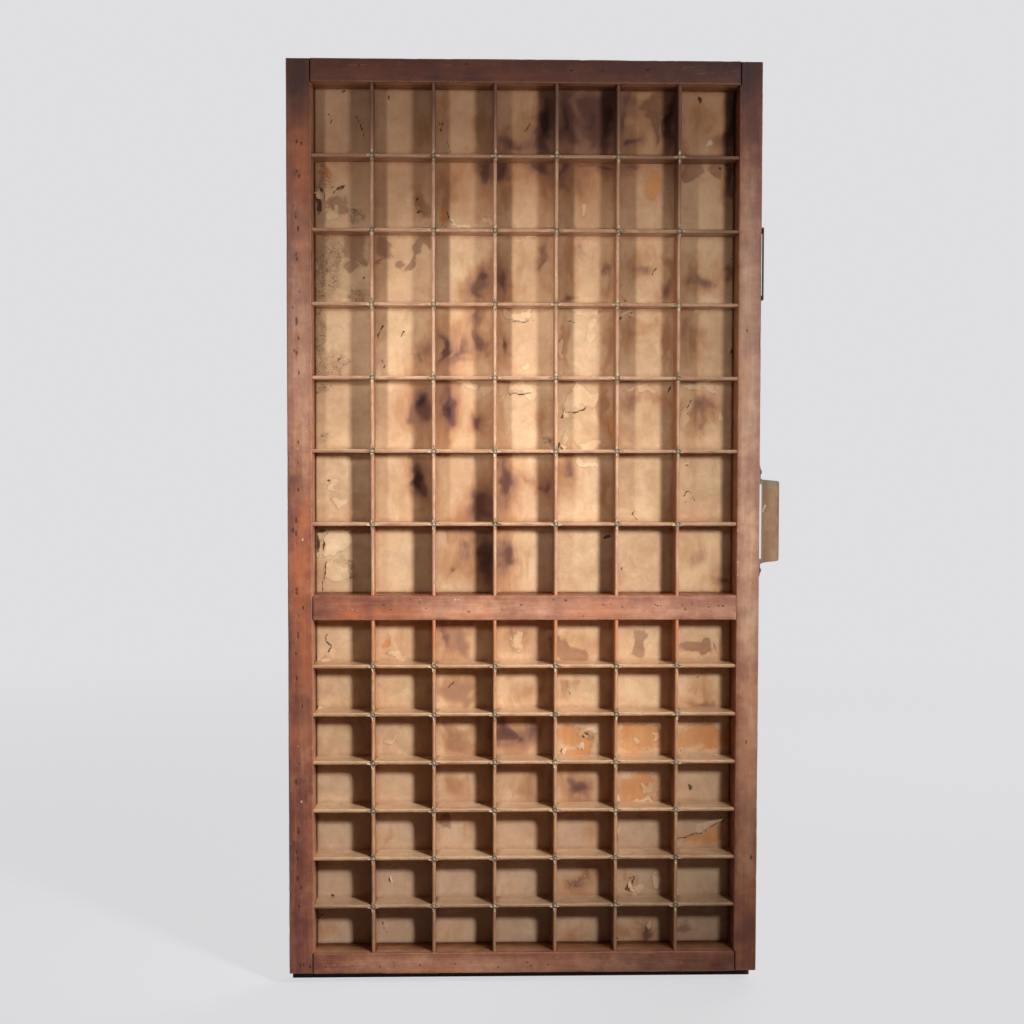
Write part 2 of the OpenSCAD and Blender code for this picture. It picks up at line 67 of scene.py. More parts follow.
class Socket:
    """An output of a shader node. Arithmetic on it adds Math nodes to the same material."""

    def __init__(self, tree, output):
        self.tree = tree
        self.output = output

    def node(self, kind, settings, values, output=0):
        """Adds a node of any other kind: its settings first, then its sockets' values or links."""
        made = self.tree.nodes.new("ShaderNode" + kind)
        for name, value in settings.items():
            setattr(made, name, value)
        for name, value in values.items():
            if isinstance(value, Socket):
                self.tree.links.new(value.output, made.inputs[name])
            else:
                made.inputs[name].default_value = value
        return Socket(self.tree, made.outputs[output]) if len(made.outputs) else None

    def maths(self, operation, *values):
        return self.node("Math", {"operation": operation}, dict(enumerate(values)))

    def __add__(self, other):
        return self.maths("ADD", self, other)

    def __radd__(self, other):
        return self.maths("ADD", other, self)

    def __sub__(self, other):
        return self.maths("SUBTRACT", self, other)

    def __rsub__(self, other):
        return self.maths("SUBTRACT", other, self)

    def __mul__(self, other):
        return self.maths("MULTIPLY", self, other)

    def __abs__(self):
        return self.maths("ABSOLUTE", self)

    def smaller(self, other):
        return self.maths("MINIMUM", self, other)

    def larger(self, other):
        return self.maths("MAXIMUM", self, other)

    def fade(self, none, full):
        """Mask that climbs smoothly from 0 where this value is none to 1 where it is full."""
        return self.node("MapRange", {"interpolation_type": "SMOOTHSTEP"},
                         {"Value": self, "From Min": none, "From Max": full})

    def between(self, bare, covered):
        """Colour that is bare where this mask is 0 and covered where it is 1, each a tint or a made colour."""
        bare, covered = [c if isinstance(c, Socket) else srgb(*c) for c in (bare, covered)]
        return self.node("Mix", {"data_type": "RGBA"}, {0: self, 6: bare, 7: covered}, 2)

    def times(self, x, y, z):
        """This point with its three parts multiplied."""
        return self.node("VectorMath", {"operation": "MULTIPLY"}, {0: self, 1: (x, y, z)})

    def moved(self, x, y, z):
        """This point moved by three lengths."""
        return self.node("VectorMath", {"operation": "ADD"}, {0: self, 1: (x, y, z)})

    def part(self, axis):
        """One of this point's three parts."""
        return self.node("SeparateXYZ", {}, {0: self}, axis)

    def noise(self, size, detail, roughness, distortion=0.0):
        """Cloudy value about 0.5, with clouds about size wide, read at this point."""
        return self.node("TexNoise", {}, {"Vector": self, "Scale": 1 / size, "Detail": detail,
                                          "Roughness": roughness, "Distortion": distortion})

    def mark(self, name):
        """The value that write_mark stored on the mesh under this name."""
        return self.node("Attribute", {"attribute_name": name}, {}, "Fac")

    def seen_rays(self):
        """1 for a ray by which the camera sees, straight, mirrored or through clear things, 0 for light."""
        camera, glossy, clear = [self.node("LightPath", {}, {}, f"Is {kind} Ray")
                                 for kind in ("Camera", "Glossy", "Transmission")]
        return camera.larger(glossy).larger(clear)


def surface(name):
    """A new material, and the point on its surface in millimetres."""
    made = bpy.data.materials.new(name)
    made.use_nodes = True
    made.node_tree.nodes.clear()
    here = Socket(made.node_tree, None).node("TexCoord", {}, {}, "Object")
    return made, here.times(1 / MM, 1 / MM, 1 / MM)


def painted(colour, *coats):
    """A colour under coats of paint, the lowest first, each given as its mask and its tint."""
    for mask, tint in coats:
        colour = mask.between(colour, tint)
    return colour


def dress(piece, material):
    """Gives a piece this one material."""
    piece.data.materials.clear()
    piece.data.materials.append(material)


def new_object(name, data):
    """A new object in the scene, at the origin."""
    made = bpy.data.objects.new(name, data)
    bpy.context.scene.collection.objects.link(made)
    return made


def close_surface(at, colour, roughness, height, depth, **constants):
    """Joins colour, roughness and relief, height times depth, into one shader. The constants sit on its own
    sockets."""
    relief = at.node("Bump", {}, {"Height": height, "Distance": depth})
    values = {"Base Color": colour, "Roughness": roughness, "Normal": relief}
    values.update({name.replace("_", " "): value for name, value in constants.items()})
    shader = at.node("BsdfPrincipled", {}, values)
    at.node("OutputMaterial", {}, {"Surface": shader})


def grain_space(at, along, seed):
    """The point moved to a fresh part of the timber, and squeezed 14 to 1 along the grain."""
    squeeze = [1.0, 1.0, 1.0]
    squeeze[along] = 1 / 14
    return at.moved(seed * 131.7, seed * 57.3, seed * 91.1).times(*squeeze)


def smooth_noise(t, size, seed):
    """Random numbers from 0 to 1 every size along a line, joined by the smoothstep curve 3f^2 - 2f^3."""
    period = 2048
    values = np.random.default_rng(seed).random(period)
    whole = np.floor(t / size)
    f = t / size - whole
    f = f * f * (3 - 2 * f)
    index = whole.astype(int)
    return values[index % period] * (1 - f) + values[(index + 1) % period] * f


def cut_across(bm, axis, places):
    """Cuts a mesh by planes square to one axis, from the lowest place up, so that it has points to bend at."""
    normal = [0.0, 0.0, 0.0]
    normal[axis] = 1.0
    left = list(bm.faces)
    for place in places:
        point = [p * place for p in normal]
        geom = set(left)
        for face in left:
            geom.update(face.edges)
            geom.update(face.verts)
        made = bmesh.ops.bisect_plane(bm, geom=list(geom), dist=SAME_POINT, plane_co=point, plane_no=normal)
        left = [f for f in made["geom"] if isinstance(f, bmesh.types.BMFace)
                and f.calc_center_median()[axis] > place]


def worn_copy(node, along, pitch, rows, wear, seed):
    """Stand-in for a CAD bar: its mesh, cut every pitch along it and at rows (axis, place), then worn by
    wear(points, along, seed)."""
    low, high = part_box(node)
    bm = bmesh.new()
    bm.from_mesh(nodes[node].data)
    bmesh.ops.remove_doubles(bm, verts=bm.verts, dist=SAME_POINT)
    bmesh.ops.dissolve_limit(bm, angle_limit=math.radians(0.5), verts=bm.verts, edges=bm.edges)
    for axis, place in rows:
        cut_across(bm, axis, [place])
    length = high[along] - low[along]
    count = round(length / pitch)
    cut_across(bm, along, [low[along] + (k + 0.5) * length / count for k in range(count)])
    bmesh.ops.triangulate(bm, faces=bm.faces)
    points = np.array([v.co for v in bm.verts])
    for vert, place in zip(bm.verts, wear(points, along, seed)):
        vert.co = place
    mesh = bpy.data.meshes.new("worn_" + node)
    bm.to_mesh(mesh)
    bm.free()
    mesh.shade_smooth()
    mesh.set_sharp_from_angle(angle=math.radians(35))
    piece = new_object("worn_" + node, mesh)
    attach(piece, "root")
    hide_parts(node)
    return piece


def rail_wear(points, along, seed):
    """Rubs in both rim arrises: a point goes in by a smooth random depth along the bar, plus nicks and dents
    where finer noises peak, times (1 - distance to the arris / 4 mm) squared. The pull spares the arris behind
    it. The rim's face and the bar's ends are worn a little too."""
    low, high = points.min(0), points.max(0)
    side = UP if along == ACROSS else ACROSS
    reach = 4 * MM
    worn = points.copy()
    run, behind_rim = points[:, along], points[:, DEPTH] - low[DEPTH]
    by_pull = np.clip(np.minimum(run - PULL_LOW, PULL_HIGH - run) / (10 * MM), 0, 1)
    for end, inward in ((low[side], 1), (high[side], -1)):
        distance = np.hypot(points[:, side] - end, behind_rim)
        near = np.clip(1 - distance / reach, 0, 1) ** 2
        key = seed * 10 + inward
        rub = 0.5 * MM * smooth_noise(run, 45 * MM, key + 100) ** 2
        nick = 1.8 * MM * np.clip(smooth_noise(run, 3 * MM, key + 200) - 0.72, 0, 1)
        dent = 2.4 * MM * np.clip(smooth_noise(run, 14 * MM, key + 300) - 0.8, 0, 1)
        depth = (rub + nick + dent) * near * (1 - 0.85 * by_pull * (end > PULL_FOOT))
        worn[:, side] += inward * 0.75 * depth
        worn[:, DEPTH] += 0.8 * depth
    face = np.clip(1 - behind_rim / (1.5 * MM), 0, 1)
    worn[:, DEPTH] += 0.22 * MM * face * smooth_noise(run, 60 * MM, seed + 400)
    for end, inward in ((low[along], 1), (high[along], -1)):
        near = np.clip(1 - np.abs(run - end) / (2.5 * MM), 0, 1) * np.clip(1 - behind_rim / reach, 0, 1)
        worn[:, along] += inward * 1.1 * MM * near ** 2
    return worn


# Spots are given in millimetres: across, up, half width, half height, strength and, for some, a turn
# in degrees. They are drawn on a piece by values at its points, which its material reads.
STRENGTH = 4


def spot_reach(x, z, spot):
    """Distance to a spot's middle in its own half widths: the length of the turned offset over (rx, rz)."""
    across, up, rx, rz, _, *turn = spot
    turn = math.radians(turn[0]) if turn else 0.0
    c, s = math.cos(turn), math.sin(turn)
    dx, dz = x - across, z - up
    return np.hypot((dx * c + dz * s) / rx, (dz * c - dx * s) / rz)


def soft_spots(x, z, spots):
    """Spots that fade out: 1 - product of (1 - strength * exp(-1.2 reach^2))."""
    clear = np.ones_like(x)
    for spot in spots:
        clear *= 1 - spot[STRENGTH] * np.exp(-1.2 * spot_reach(x, z, spot) ** 2)
    return 1 - clear


def net_faces(grid):
    """The squares of a net whose points' numbers are given, and its rim's points in order."""
    quads = np.stack([grid[:-1, :-1], grid[1:, :-1], grid[1:, 1:], grid[:-1, 1:]], -1).reshape(-1, 4)
    return quads, np.concatenate([grid[:-1, 0], grid[-1, :-1], grid[:0:-1, -1], grid[0, :0:-1]])


def write_mark(mesh, name, values):
    """Stores one value per point of the mesh, for its material to read."""
    mesh.attributes.new(name, "FLOAT", "POINT").data.foreach_set("value", values.astype(np.float32))


def dots(at, places, radius, stretch):
    """Mask of small marks round places (across, up), each drawn out upward by stretch."""
    flat = at.times(1.0, 0.0, 1 / stretch)
    far = 100.0
    nearest = at.part(UP) * 0.0 + far
    for x, z in places:
        ends = {0: flat, 1: (x, 0.0, z / stretch)}
        nearest = nearest.smaller(flat.node("VectorMath", {"operation": "DISTANCE"}, ends, "Value"))
    uneven = (at.noise(1.3, 2, 0.5) - 0.5) * radius + (at.noise(7, 1, 0.5) - 0.5) * radius * 2.6
    return (nearest + uneven).fade(radius, radius * 0.4)


# Spots worn pale, partly painted sheen, orange spots, and smoky ones, partly painted shade, on the rims; then
# small pits and white specks, across and up.
# Down the right side rail, about 190 across, these pale spots are painted sheen as well as worn wood.
RUBBED_AND_SHEEN = (
    (-209, 663, 8, 40, 0.3), (-210, 592, 11, 71, 0.54), (-210, 521, 11, 45, 0.46), (-207, 468, 5, 36, 0.35),
    (-207, 226, 4, 36, 0.2), (190, 709, 9, 45, 0.6), (190, 629, 10, 54, 0.9), (191, 531, 12, 80, 1),
    (192, 414, 12, 54, 0.95), (193, 333, 12, 54, 0.95), (194, 215, 10, 60, 0.95), (192, 120, 9, 40, 0.6),
    (-63, 343, 54, 11, 0.65), (22, 343, 54, 11, 0.52), (112, 342, 62, 11, 0.4), (166, 342, 27, 9, 0.36),
    (-117, 20, 54, 9, 0.62), (-36, 19, 54, 9, 0.68), (70, 20, 60, 9, 0.52))
ORANGE = (
    (-211, 762, 9, 32, 0.55), (-205, 742, 4, 30, 0.7), (-211, 724, 8, 22, 0.55), (-208, 667, 6, 27, 0.5),
    (-207, 425, 5, 14, 0.9), (-210, 383, 8, 25, 0.7), (-207, 311, 6, 45, 0.6), (-211, 352, 7, 20, 0.5),
    (-211, 226, 7, 14, 0.4), (-164, 336, 9, 4, 0.9), (-126, 340, 36, 6, 0.5), (-59, 338, 22, 4, 0.5),
    (58, 341, 36, 7, 0.5), (193, 211, 7, 40, 0.5), (186, 545, 5, 54, 0.3), (197, 78, 8, 36, 0.35),
    (190, 128, 4, 27, 0.5), (-138, 823, 36, 4, 0.3), (-32, 820, 22, 4, 0.4), (-86, 18, 45, 6, 0.35),
    (23, 20, 36, 6, 0.3))
# Smoky spots; the last two, faint ones down the middle of the left side rail, are painted shade.
SMOKE_AND_SHADE = (
    (-209, 813, 6, 18, 1), (-211, 801, 11, 36, 0.8), (-213, 730, 4, 4, 0.7), (-214, 693, 3, 4, 0.5),
    (-213, 657, 4, 4, 0.6), (-220, 459, 3, 40, 0.6), (-213, 461, 5, 18, 0.35), (-219, 414, 4, 12, 0.6),
    (-221, 316, 3, 27, 0.5), (-211, 256, 10, 22, 0.4), (-215, 181, 9, 40, 0.45), (-212, 117, 11, 36, 0.4),
    (-213, 53, 10, 36, 0.55), (189, 819, 12, 32, 1), (189, 775, 12, 32, 0.45), (197, 766, 4, 36, 0.5),
    (194, 115, 11, 36, 0.15), (195, 55, 11, 20, 0.6), (-92, 815, 8, 4, 0.8), (-58, 816, 8, 4, 0.6),
    (74, 824, 71, 12, 0.4), (158, 825, 45, 14, 0.8), (-195, 343, 12, 11, 0.6), (-135, 349, 12, 4, 0.4),
    (189, 342, 7, 11, 0.3), (-198, 20, 22, 11, 0.4), (78, 18, 54, 11, 0.3), (160, 18, 45, 11, 0.42),
    (-211, 545, 14, 100, 0.1), (-211, 640, 14, 60, 0.07))
PITS = (
    (-212, 758), (-208, 756), (-212, 732), (-210, 728), (-215, 702), (-213, 695), (-213, 692), (-211, 682),
    (-213, 659), (-212, 655), (-210, 626), (-216, 612), (-213, 601), (-213, 598), (-211, 584), (-213, 572),
    (-215, 574), (-211, 554), (-214, 549), (-212, 493), (-218, 486), (-212, 474), (-212, 450), (-214, 423),
    (-217, 414), (-214, 411), (-214, 402), (-214, 361), (-214, 358), (-208, 345), (-212, 338), (-213, 322),
    (-213, 319), (-215, 304), (-214, 281), (-209, 256), (-212, 235), (-212, 204), (-215, 188), (-213, 145),
    (-213, 142), (-215, 124), (-214, 118), (-214, 100), (-211, 91), (-213, 74), (-213, 71), (-212, 21),
    (-209, 21), (-62, 827), (-157, 825), (-107, 819), (31, 822), (99, 823), (129, 821), (58, 822),
    (-26, 825), (-125, 811), (-170, 343), (-146, 351), (-136, 347), (-130, 343), (-112, 352), (-104, 349),
    (-98, 344), (-60, 341), (-43, 348), (-30, 343), (-13, 347), (16, 352), (27, 351), (61, 347), (67, 348),
    (78, 345), (108, 347), (110, 346), (113, 346), (98, 342), (132, 347), (135, 343), (141, 348),
    (156, 345), (158, 341), (165, 346), (169, 346), (43, 337), (-203, 20), (-189, 19), (-178, 21),
    (-165, 20), (-152, 20), (-140, 19), (-127, 20), (-115, 21), (-104, 20), (-72, 21), (-33, 18), (-7, 22),
    (-3, 19), (12, 20), (62, 16), (68, 21), (109, 19), (115, 22), (152, 17), (191, 223), (196, 117),
    (189, 593))
SPECKS = (
    (-211, 751), (-219, 657), (-212, 487), (-208, 406), (-213, 220), (-210, 170), (-220, 132), (-164, 343),
    (-159, 342), (-147, 351), (-151, 350), (-72, 352), (-69, 352), (-181, 21), (-132, 17), (-120, 23),
    (183, 398), (182, 385), (182, 374), (186, 373), (189, 375), (182, 414), (-103, 352), (15, 347))


def stained_wood(name, along, seed, bare):
    """Red-brown stain over fine grain: worn pale or orange in places and along the arrises, pricked with small
    pits, scuffed and specked with white. It is darker towards the tray's top, from smoky deposits and from
    painted shade where less light falls; the pale spots down the right side rail are painted sheen too, and two
    faint dark spots on the left side rail are painted shade. The inner face, which is turned to the side that
    bare names (1, -1, both or 0 for none), took little stain."""
    made, at = surface(name)
    side = UP if along == ACROSS else ACROSS
    grain = grain_space(at, along, seed)
    bands = grain.noise(5.5, 4, 0.6, 0.6)
    fibre = grain.noise(0.9, 4, 0.65)
    blotch = at.noise(46, 4, 0.55)
    cloud = at.moved(40, 11, 7 * seed).noise(14, 4, 0.6)
    rubbed_and_sheen, orange, smoke_and_shade = [at.mark(name) for name in ("rubbed_and_sheen", "orange", "smoke_and_shade")]
    tone = (bands * 0.42 + fibre * 0.24 + cloud * 0.44).fade(0.4, 0.76)
    patch = (blotch * 0.6 + bands * 0.2 + cloud * 0.35).fade(0.58, 0.72)
    bruise = at.moved(9, 70, 31 * seed).noise(19, 3, 0.5).fade(0.54, 0.7)
    # Darker towards the tray's top: smoky deposits, and painted shade where less light falls.
    top = (at.part(UP) + blotch * 60).fade(795, 865)
    low, high = [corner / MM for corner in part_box(name)]
    depth = at.part(DEPTH) - RIM / MM
    to_side = (at.part(side) - low[side]).smaller(high[side] - at.part(side))
    arris = (to_side.larger(depth) + at.noise(2.2, 4, 0.7) * 3.4).fade(3.3, 1.9)
    scuff = grain.noise(1.6, 2, 0.4, 2.2).fade(0.66, 0.74) * cloud.fade(0.5, 0.6)
    on_rim = depth.fade(2.0, 0.5)
    pits, specks = [[(x, z) for x, z in places if low.x < x < high.x and low.z < z < high.z]
                    for places in (PITS, SPECKS)]
    pit = dots(at, pits, 1.1, 2.2 if along == UP else 0.8) * on_rim
    speck = dots(at, specks, 0.6, 1.8 if along == UP else 1.0) * on_rim
    facing = at.node("TexCoord", {}, {}, "Normal").part(side)
    inner = (abs(facing) if bare == "both" else facing * bare).fade(0.4, 0.8) * depth.fade(1.5, 4.0)
    colour = painted(
        tone.between((136, 76, 58), (184, 116, 88)),
        (patch * 0.4, (208, 138, 98)),
        (bruise * 0.5, (112, 62, 58)),
        # Worn pale wood, and painted sheen down the right side rail.
        (rubbed_and_sheen * (cloud + 0.35), tone.between((212, 159, 124), (236, 192, 156))),
        (orange * (cloud + 0.3), (212, 122, 72)),
        # Darker top and smoky spots: deposits, and painted shade at the top and in two faint spots on the left
        # side rail.
        (top * 0.8, (84, 43, 36)),
        (smoke_and_shade * 0.9, tone.between((56, 40, 38), (84, 54, 48))),
        (arris * 0.35, (214, 154, 122)),
        (scuff * 0.3, (220, 168, 138)),
        (pit * 0.65, (62, 36, 26)),
        (speck * 0.8, (230, 202, 178)),
        (inner * 0.88, tone.between((178, 122, 84), (228, 174, 130))))
    height = fibre * 0.4 + bands * 0.3 + cloud * 0.6 - pit * 2.4 - scuff * 0.3
    rough = 0.46 - tone * 0.06 + pit * 0.3 + (cloud - 0.5) * 0.15
    close_surface(at, colour, rough, height, 0.16 * MM, Specular_IOR_Level=0.32)
    return made


BARE_SIDE = {"back_rail": 1, "front_rail": 0, "upper_side_rail": -1, "lower_side_rail": 1,
             "middle_bar": "both"}
for seed, (name, bare) in enumerate(BARE_SIDE.items(), 1):
    low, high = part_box(name)
    along, side = (UP, ACROSS) if name in ("back_rail", "front_rail") else (ACROSS, UP)
    rows = [(side, end + inward * step * MM) for end, inward in ((low[side], 1), (high[side], -1))
            for step in (2.4, 4.2, 7.5)]
    rows += [(DEPTH, RIM + step * MM) for step in (2.4, 4.2)]
    rail = worn_copy(name, along, 3 * MM, rows, rail_wear, seed)
    points = np.array([v.co for v in rail.data.vertices]) / MM
    for mark, spots in (("rubbed_and_sheen", RUBBED_AND_SHEEN), ("orange", ORANGE), ("smoke_and_shade", SMOKE_AND_SHADE)):
        write_mark(rail.data, mark, soft_spots(points[:, 0], points[:, 2], spots))
    dress(rail, stained_wood(name, along, seed, bare))

# Bottom board
# One sheet of three-ply, nailed under the rails. It stands out past both side rails as the tongues on which
# the drawer slides, and its back and edges are bare, dry and grey-brown.
board_low, board_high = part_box("bottom_board")


def bare_board(name):
    """Dry face veneer with its grain along the tray, ply lines on the edges, darkened by handling and damp, and
    at its foot also by painted shade.
    """
    made, at = surface(name)
    grain = grain_space(at, UP, 31)
    bands = grain.noise(9, 4, 0.6, 0.8)
    fibre = grain.noise(1.2, 4, 0.65)
    cloud = at.noise(60, 5, 0.55)
    tone = (bands * 0.5 + fibre * 0.3 + cloud * 0.3).fade(0.44, 0.68)
    damp = at.moved(50, 0, 9).noise(85, 4, 0.5).fade(0.54, 0.66)
    inside = (at.part(DEPTH) - board_low.y / MM).smaller(board_high.y / MM - at.part(DEPTH))
    core = inside.fade(1.7, 2.1)
    # Darker at the foot, next to the floor: dirt, and painted shade.
    darkening = (at.part(UP) + cloud * 16).fade(CASE_LOW / MM + 10, CASE_LOW / MM + 1)
    colour = painted(
        tone.between((124, 90, 64), (186, 146, 108)),
        (damp * 0.5, (98, 72, 58)),
        (core * 0.5, (120, 84, 58)),
        (darkening * 0.75, (64, 50, 48)))
    close_surface(at, colour, 0.72 + fibre * 0.12, fibre * 0.5 + bands * 0.4, 0.2 * MM, Specular_IOR_Level=0.25)
    return made


dress(nodes["bottom_board"], bare_board("bare_ply"))

# Paper linings
# Brown wrapping paper glued on the board inside each field. A century of damp, ink and loose type has stained
# it, blistered it, and torn it down to the orange ply in places.
# Sooty spots; those along the right-hand sides of the top row's compartments are painted shade as well.
SOOT_AND_SHADE = (
    (-47, 737, 10, 12.7, 0.75), (-29, 740, 8, 9.4, 0.8), (7, 740, 8, 8, 0.7), (28, 742, 8, 9.4, 0.75),
    (64, 740, 9.4, 2.9, 0.6), (28, 785, 10.7, 34.8, 0.9), (48, 785, 10.7, 34.8, 0.8),
    (64, 785, 10.7, 36.1, 0.9), (8, 781, 9.4, 32.1, 1), (-15, 760, 17.4, 6.7, 0.55),
    (-26, 767, 8, 13.4, 0.35), (-46, 647, 7.4, 6.7, 0.7), (-49, 633, 10.7, 13.4, 0.6, 20),
    (-29, 640, 6, 20.1, 0.6), (-10, 640, 6.7, 24.1, 0.22), (6, 660, 5.3, 22.7, 0.45),
    (39, 666, 4, 20.1, 0.3), (65, 647, 6, 16, 0.5), (29, 628, 7.4, 8, 0.6), (26, 726, 4, 8, 0.45),
    (38, 724, 4, 12, 0.3), (80, 784, 5.6, 18.6, 0.5), (88, 766, 5.6, 5.6, 0.7), (86, 807, 10.2, 9.3, 0.5),
    (122, 784, 7.4, 30.7, 0.9), (87, 743, 12.1, 5.6, 0.6), (135, 743, 3.3, 4.6, 0.7),
    (178, 784, 7.4, 27.9, 0.8), (177, 734, 5.6, 18.6, 0.7), (-100, 577, 9.1, 17, 0.4),
    (-84, 576, 5.1, 18.1, 0.75), (-70, 573, 9.1, 17, 0.55, -10), (-52, 588, 6.2, 22.7, 0.5, 10),
    (-58, 606, 4.5, 10.2, 0.35), (-29, 580, 3.3, 9.4, 0.75), (-80, 520, 4.7, 17.8, 0.6),
    (-48, 510, 8.4, 9.4, 0.35), (94, 647, 8.4, 9.3, 0.4), (120, 634, 5.6, 11.2, 0.5),
    (150, 640, 12.1, 7.4, 0.5), (138, 649, 6.5, 13.9, 0.3), (175, 651, 4.6, 10.2, 0.5),
    (141, 594, 9.3, 13.9, 0.4), (144, 570, 9.3, 11.2, 0.2), (86, 593, 8.4, 13.9, 0.3),
    (-103, 523, 9.8, 15.7, 0.95, 10), (-117, 517, 4.6, 7.8, 0.45), (-81, 524, 5.9, 17, 0.75),
    (-48, 511, 6.5, 9.1, 0.4), (-102, 457, 7.8, 17, 1), (-50, 434, 9.8, 14.4, 0.75),
    (-42, 443, 6.5, 11.8, 0.4), (-63, 400, 7.2, 15.7, 0.5), (-78, 406, 5.2, 10.5, 0.35),
    (-73, 375, 5.9, 6.5, 0.35), (-44, 384, 9.1, 26.1, 0.8), (-27, 459, 8.9, 26.7, 0.7),
    (-3, 462, 13.3, 5.9, 0.4), (10, 451, 6.7, 8.9, 0.5), (-26, 387, 8.9, 17.8, 0.65),
    (29, 468, 8.9, 11.9, 0.45), (85, 526, 11.9, 11.9, 0.35), (106, 532, 8.9, 7.4, 0.3),
    (154, 525, 16.3, 10.4, 0.45), (150, 509, 4.4, 11.9, 0.4), (146, 387, 11.9, 11.9, 0.3),
    (170, 363, 7.4, 5.9, 0.5), (-84, 311, 7.2, 18.3, 0.5), (-65, 308, 10.5, 15.7, 0.3),
    (-27, 321, 5.2, 7.8, 0.4), (-9, 319, 5.2, 7.8, 0.4), (-26, 227, 15.7, 10.5, 0.8, -30),
    (33, 271, 6.5, 9.2, 0.35), (152, 255, 14.4, 3.7, 0.5), (-5, 227, 7.8, 11.8, 0.5),
    (40, 182, 10.5, 10.5, 0.5), (44, 173, 10.5, 13.1, 0.6), (43, 89, 13.1, 7.8, 0.4),
    (106, 44, 7.8, 10.5, 0.65), (-136, 126, 7.8, 6.5, 0.25, -40), (-118, 50, 7.8, 7.8, 0.15))
WET = (
    (-179, 705, 8.8, 9.3, 1), (-193, 745, 7, 3.7, 0.8), (-163, 670, 10.2, 12.5, 0.8),
    (-163, 656, 5.7, 4.5, 0.9, 20), (-153, 660, 3.4, 5.7, 0.8), (-139, 668, 5.7, 12.5, 0.8),
    (-143, 656, 2.8, 7.9, 0.7), (-101, 676, 6.8, 7.9, 0.9), (-97, 670, 2.8, 4.5, 0.9),
    (-108, 667, 4.5, 12.5, 0.9, -25), (-114, 652, 3.6, 7.9, 1, -15), (-125, 651, 6.8, 4, 0.8),
    (145, 737, 8.8, 7, 1), (162, 739, 5.6, 6.5, 1), (108, 790, 7.4, 18.6, 0.9), (111, 766, 3.7, 8.4, 0.7),
    (27, 307, 7.8, 13.1, 1, 25), (40, 301, 15.7, 5.9, 1, -25), (98, 311, 7.2, 9.8, 1),
    (151, 302, 16.3, 5.9, 1), (157, 310, 5.9, 6.5, 1), (-80, 143, 2.9, 7.8, 0.9), (140, 46, 7.8, 10.5, 0.6),
    (-73, 375, 5.2, 5.9, 0.5), (-98, 706, 5.6, 9.3, 0.6), (48, 739, 12, 1.9, 0.8), (-7, 745, 9.4, 3.3, 0.8))
BARE = (
    (-192, 735, 4.6, 7.4, 0.9), (31, 224, 11.1, 8.5, 1), (37, 208, 11.8, 4.6, 0.9),
    (47, 216, 5.9, 9.8, 0.9), (96, 223, 20.3, 15, 1), (153, 224, 21.6, 12.4, 1), (96, 178, 18.3, 11.8, 1),
    (164, 130, 7.8, 9.8, 1), (151, 127, 7.8, 5.2, 0.7), (-135, 312, 3.7, 3.1, 1),
    (105, 728, 8.4, 15.8, 0.85), (-83, 695, 5.3, 8, 0.8), (69, 502, 3.7, 15.7, 0.8))
PEEL = (
    (-184, 694, 5.8, 5.8, 1), (-181, 701, 2.8, 3.7, 1, 30), (-12, 607, 11.5, 5, 0.9),
    (-9, 559, 9.4, 2.9, 0.7), (46, 611, 11.5, 5.8, 0.8), (54, 599, 3.1, 6.3, 1, -15),
    (53, 589, 2.9, 4.2, 1, -30), (28, 577, 2.5, 12.5, 0.8), (-60, 544, 16.7, 3.1, 0.9),
    (-42, 539, 2.5, 6.3, 1), (-72, 544, 4.2, 4.2, 0.9), (-11, 541, 11.5, 4, 1), (-29, 528, 1.5, 5.2, 1),
    (32, 528, 6.3, 9.4, 1, -15), (44, 537, 13.6, 9.4, 1), (57, 534, 3.8, 7.3, 1), (31, 497, 4.7, 6.3, 0.8),
    (50, 493, 8.4, 4.7, 0.8), (85, 542, 7.4, 3.3, 0.9), (103, 543, 8.9, 4.1, 0.9),
    (151, 541, 16.3, 4.7, 0.8), (136, 520, 3.3, 16.3, 0.8), (167, 513, 2.1, 8.9, 0.8),
    (44, 476, 8.9, 3.6, 1, 15), (54, 473, 5.3, 3, 1), (-183, 400, 13.1, 11.8, 0.95),
    (-180, 372, 7.8, 11.8, 0.7), (-179, 453, 3.4, 7.8, 0.7), (-177, 439, 2.6, 5.2, 0.8),
    (-70, 692, 4.7, 3.3, 1), (-61, 691, 4, 2.9, 1), (-54, 690, 3.3, 2, 1), (-41, 692, 4.8, 6.7, 0.8, 30),
    (-10, 679, 8, 1.1, 0.8), (42, 706, 3.5, 3.5, 0.7), (-19, 313, 7.8, 10.5, 0.8),
    (-126, 302, 7.8, 7.2, 0.7), (-132, 224, 5.2, 2.4, 0.9, 30), (-194, 250, 4.6, 2.6, 1),
    (47, 227, 7.6, 6.3, 1), (40, 214, 3.9, 3.3, 1), (92, 224, 1.6, 3.4, 0.8), (109, 226, 3.2, 4.2, 0.8),
    (106, 174, 5.9, 4.6, 1, -20), (100, 165, 10.5, 1.6, 0.9), (84, 165, 3.3, 2, 1),
    (79, 136, 3.7, 3.7, 0.8), (94, 83, 3.4, 6.5, 0.9, 30), (110, 89, 7.8, 11.8, 0.7),
    (108, 50, 3.3, 3.7, 1), (150, 608, 6.5, 3.3, 0.8), (83, 609, 6.5, 2.4, 0.8), (164, 768, 3, 2.6, 1))
MOULD = (
    (-185, 650, 13.6, 30.6, 1), (-160, 627, 7.9, 6.8, 1), (-182, 561, 21.5, 10.2, 0.9),
    (-197, 588, 4.5, 34, 0.8), (-160, 696, 11.2, 7.4, 1), (-193, 543, 11.8, 5.2, 0.7),
    (-189, 496, 7.8, 5.2, 0.6), (-170, 378, 6.5, 13.1, 0.7), (-193, 732, 5.6, 16.7, 0.7),
    (-196, 49, 5.2, 6.5, 0.5), (13, 492, 8.9, 5.9, 0.7), (43, 89, 13.1, 10.5, 0.5),
    (48, 224, 7.8, 6.5, 0.7))
